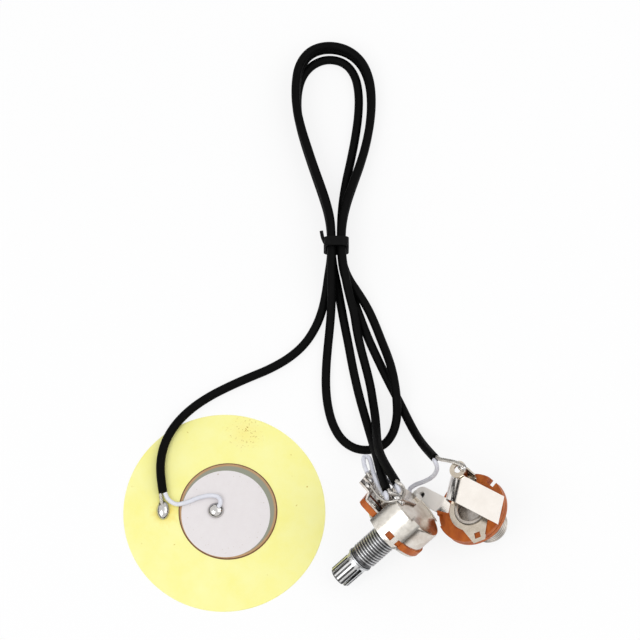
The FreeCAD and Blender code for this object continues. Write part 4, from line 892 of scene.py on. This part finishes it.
class PICKUP_OT_finishes(bpy.types.Operator):
    """Procedural finishes of every piece"""
    bl_idname = "pickup.finishes"
    bl_label = "Finishes"

    def execute(self, context):
        self.blotches = blotch_group()
        self.grain = grain_group()
        self.ring = ring_group()
        paints = {name: self.paint(context, name, facts) for name, facts in FINISHES.items()}
        for node, piece in frame["nodes"].items():
            paint = paints[SPECIAL_FINISHES.get(node, SLOT_OF[node])]
            if not piece.material_slots:
                piece.data.materials.append(paint)
            for slot in piece.material_slots:
                slot.material = paint
        for piece in bpy.data.objects:
            if "finish" not in piece:
                continue
            piece.data.materials.clear()
            piece.data.materials.append(paints[piece["finish"]])
        return {"FINISHED"}

    def paint(self, context, name, facts):
        light, dark, blotch, rough, metal, grain, depth = facts
        paint = bpy.data.materials.new("finish_" + name)
        paint.use_nodes = True
        tree = paint.node_tree
        shader = tree.nodes["Principled BSDF"]
        vector = tree.nodes.new("ShaderNodeTexCoord").outputs["Object"]
        if name == "phenolic":
            stretch = tree.nodes.new("ShaderNodeMapping")
            stretch.inputs["Scale"].default_value = PHENOLIC_SCALE
            tree.links.new(vector, stretch.inputs["Vector"])
            vector = stretch.outputs["Vector"]
        colour = tree.nodes.new("ShaderNodeGroup")
        colour.node_tree = self.blotches
        colour.inputs["Scale"].default_value = blotch
        colour.inputs["Light"].default_value = (*light, 1)
        colour.inputs["Dark"].default_value = (*dark, 1)
        texture = tree.nodes.new("ShaderNodeGroup")
        texture.node_tree = self.grain
        texture.inputs["Scale"].default_value = grain
        texture.inputs["Roughness"].default_value = rough
        bump = tree.nodes.new("ShaderNodeBump")
        bump.inputs["Strength"].default_value = BUMP_STRENGTH
        bump.inputs["Distance"].default_value = depth * MICROMETRE
        tree.links.new(vector, colour.inputs["Vector"])
        tree.links.new(vector, texture.inputs["Vector"])
        tree.links.new(texture.outputs["Height"], bump.inputs["Height"])
        tree.links.new(bump.outputs["Normal"], shader.inputs["Normal"])
        tree.links.new(texture.outputs["Roughness"], shader.inputs["Roughness"])
        shown = colour.outputs["Color"]
        if name == "brass":
            shown = self.stains(context, tree, vector, shown)
        if name == "silver":
            rim = self.mask(tree, *SILVER_MIDDLE)
            shown = self.speckles(tree, vector, shown, rim, *SILVER_SPECKS)
        # Painted shade in the valleys of the threads and splines; on the ceramic, its face colour inside the
        # rim
        if name in RINGS:
            *ring, tint = RINGS[name]
            mix = colour_mix(tree.nodes)
            mix.inputs["A"].default_value = (*tint, 1)
            tree.links.new(self.mask(tree, *ring), mix.inputs["Factor"])
            tree.links.new(shown, mix.inputs["B"])
            shown = mix.outputs["Result"]
        tree.links.new(shown, shader.inputs["Base Color"])
        shader.inputs["Metallic"].default_value = metal
        if name == "bright_nickel":
            # The flat solder lug is scuffed white and mirrors less than the polished strap
            tree.links.new(self.mask(tree, *FLAT_LUG), shader.inputs["Metallic"])
        shader.inputs["Specular IOR Level"].default_value = SHINE.get(name, USUAL_SHINE)
        return paint

    def mask(self, tree, place, foot, inner, root, crest):
        """The Ring group about the axis of a frame, moved to a foot in it."""
        ring = tree.nodes.new("ShaderNodeGroup")
        ring.node_tree = self.ring
        ring.inputs["Foot"].default_value = place @ Vector(foot)
        ring.inputs["Axis"].default_value = place.to_3x3() @ Vector((0, 0, 1))
        ring.inputs["Inner"].default_value = inner
        ring.inputs["Root"].default_value = root
        ring.inputs["Crest"].default_value = crest
        spot = tree.nodes.new("ShaderNodeTexCoord")
        tree.links.new(spot.outputs["Object"], ring.inputs["Vector"])
        return ring.outputs["Mask"]

    def stains(self, context, tree, vector, shown):
        """The brass with its stains, specks in the last of them, and a few specks all over."""
        for centre, inner, outer, strength in STAINS:
            mask = spot_mask(tree, vector, centre, inner, outer)
            share = maths(tree.nodes, "MULTIPLY", strength)
            mix = colour_mix(tree.nodes)
            mix.inputs["B"].default_value = (*context.scene.pickup_colours.stain, 1)
            tree.links.new(mask, share.inputs[0])
            tree.links.new(share.outputs[0], mix.inputs["Factor"])
            tree.links.new(shown, mix.inputs["A"])
            shown = mix.outputs["Result"]
        shown = self.speckles(tree, vector, shown, mask, *STAIN_SPECKS)
        return self.speckles(tree, vector, shown, self.mask(tree, *NO_PATCH), *BRASS_SPECKS)

    def speckles(self, tree, vector, shown, patch, tint, scale, rarity):
        """Small spots inside a mask."""
        noise = tree.nodes.new("ShaderNodeTexNoise")
        noise.inputs["Scale"].default_value = scale
        noise.inputs["Detail"].default_value = 1
        reach = span(tree.nodes, rarity, rarity + SPECK_EDGE)
        share = maths(tree.nodes, "MULTIPLY")
        mix = colour_mix(tree.nodes)
        mix.inputs["B"].default_value = (*tint, 1)
        tree.links.new(vector, noise.inputs["Vector"])
        tree.links.new(noise.outputs["Fac"], reach.inputs["Value"])
        tree.links.new(reach.outputs["Result"], share.inputs[0])
        tree.links.new(patch, share.inputs[1])
        tree.links.new(share.outputs[0], mix.inputs["Factor"])
        tree.links.new(shown, mix.inputs["A"])
        return mix.outputs["Result"]


STEPS = (
    PICKUP_OT_stage, PICKUP_OT_cables, PICKUP_OT_shields, PICKUP_OT_solder,
    PICKUP_OT_bushings, PICKUP_OT_soft_edges, PICKUP_OT_finishes,
)


class PICKUP_PT_build(bpy.types.Panel):
    """Lists the steps that build the pickup"""
    bl_idname = "PICKUP_PT_build"
    bl_label = "Piezo pickup"
    bl_space_type = "VIEW_3D"
    bl_region_type = "UI"
    bl_category = "Pickup"

    def draw(self, context):
        for settings in (context.scene.pickup_sizes, context.scene.pickup_colours):
            for name in settings.__annotations__:
                self.layout.prop(settings, name)
        for step in STEPS:
            self.layout.operator(step.bl_idname)


CLASSES = (PickupSizes, PickupColours) + STEPS + (PICKUP_PT_build,)


def register():
    for item in CLASSES:
        bpy.utils.register_class(item)
    bpy.types.Scene.pickup_sizes = bpy.props.PointerProperty(type=PickupSizes)
    bpy.types.Scene.pickup_colours = bpy.props.PointerProperty(type=PickupColours)


def unregister():
    del bpy.types.Scene.pickup_colours
    del bpy.types.Scene.pickup_sizes
    for item in reversed(CLASSES):
        bpy.utils.unregister_class(item)


def main():
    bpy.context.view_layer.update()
    register()
    bpy.ops.pickup.stage()
    bpy.ops.pickup.cables()
    bpy.ops.pickup.shields()
    bpy.ops.pickup.solder()
    bpy.ops.pickup.bushings()
    bpy.ops.pickup.soft_edges()
    bpy.ops.pickup.finishes()
    bpy.context.view_layer.update()


if __name__ == "__main__":
    main()
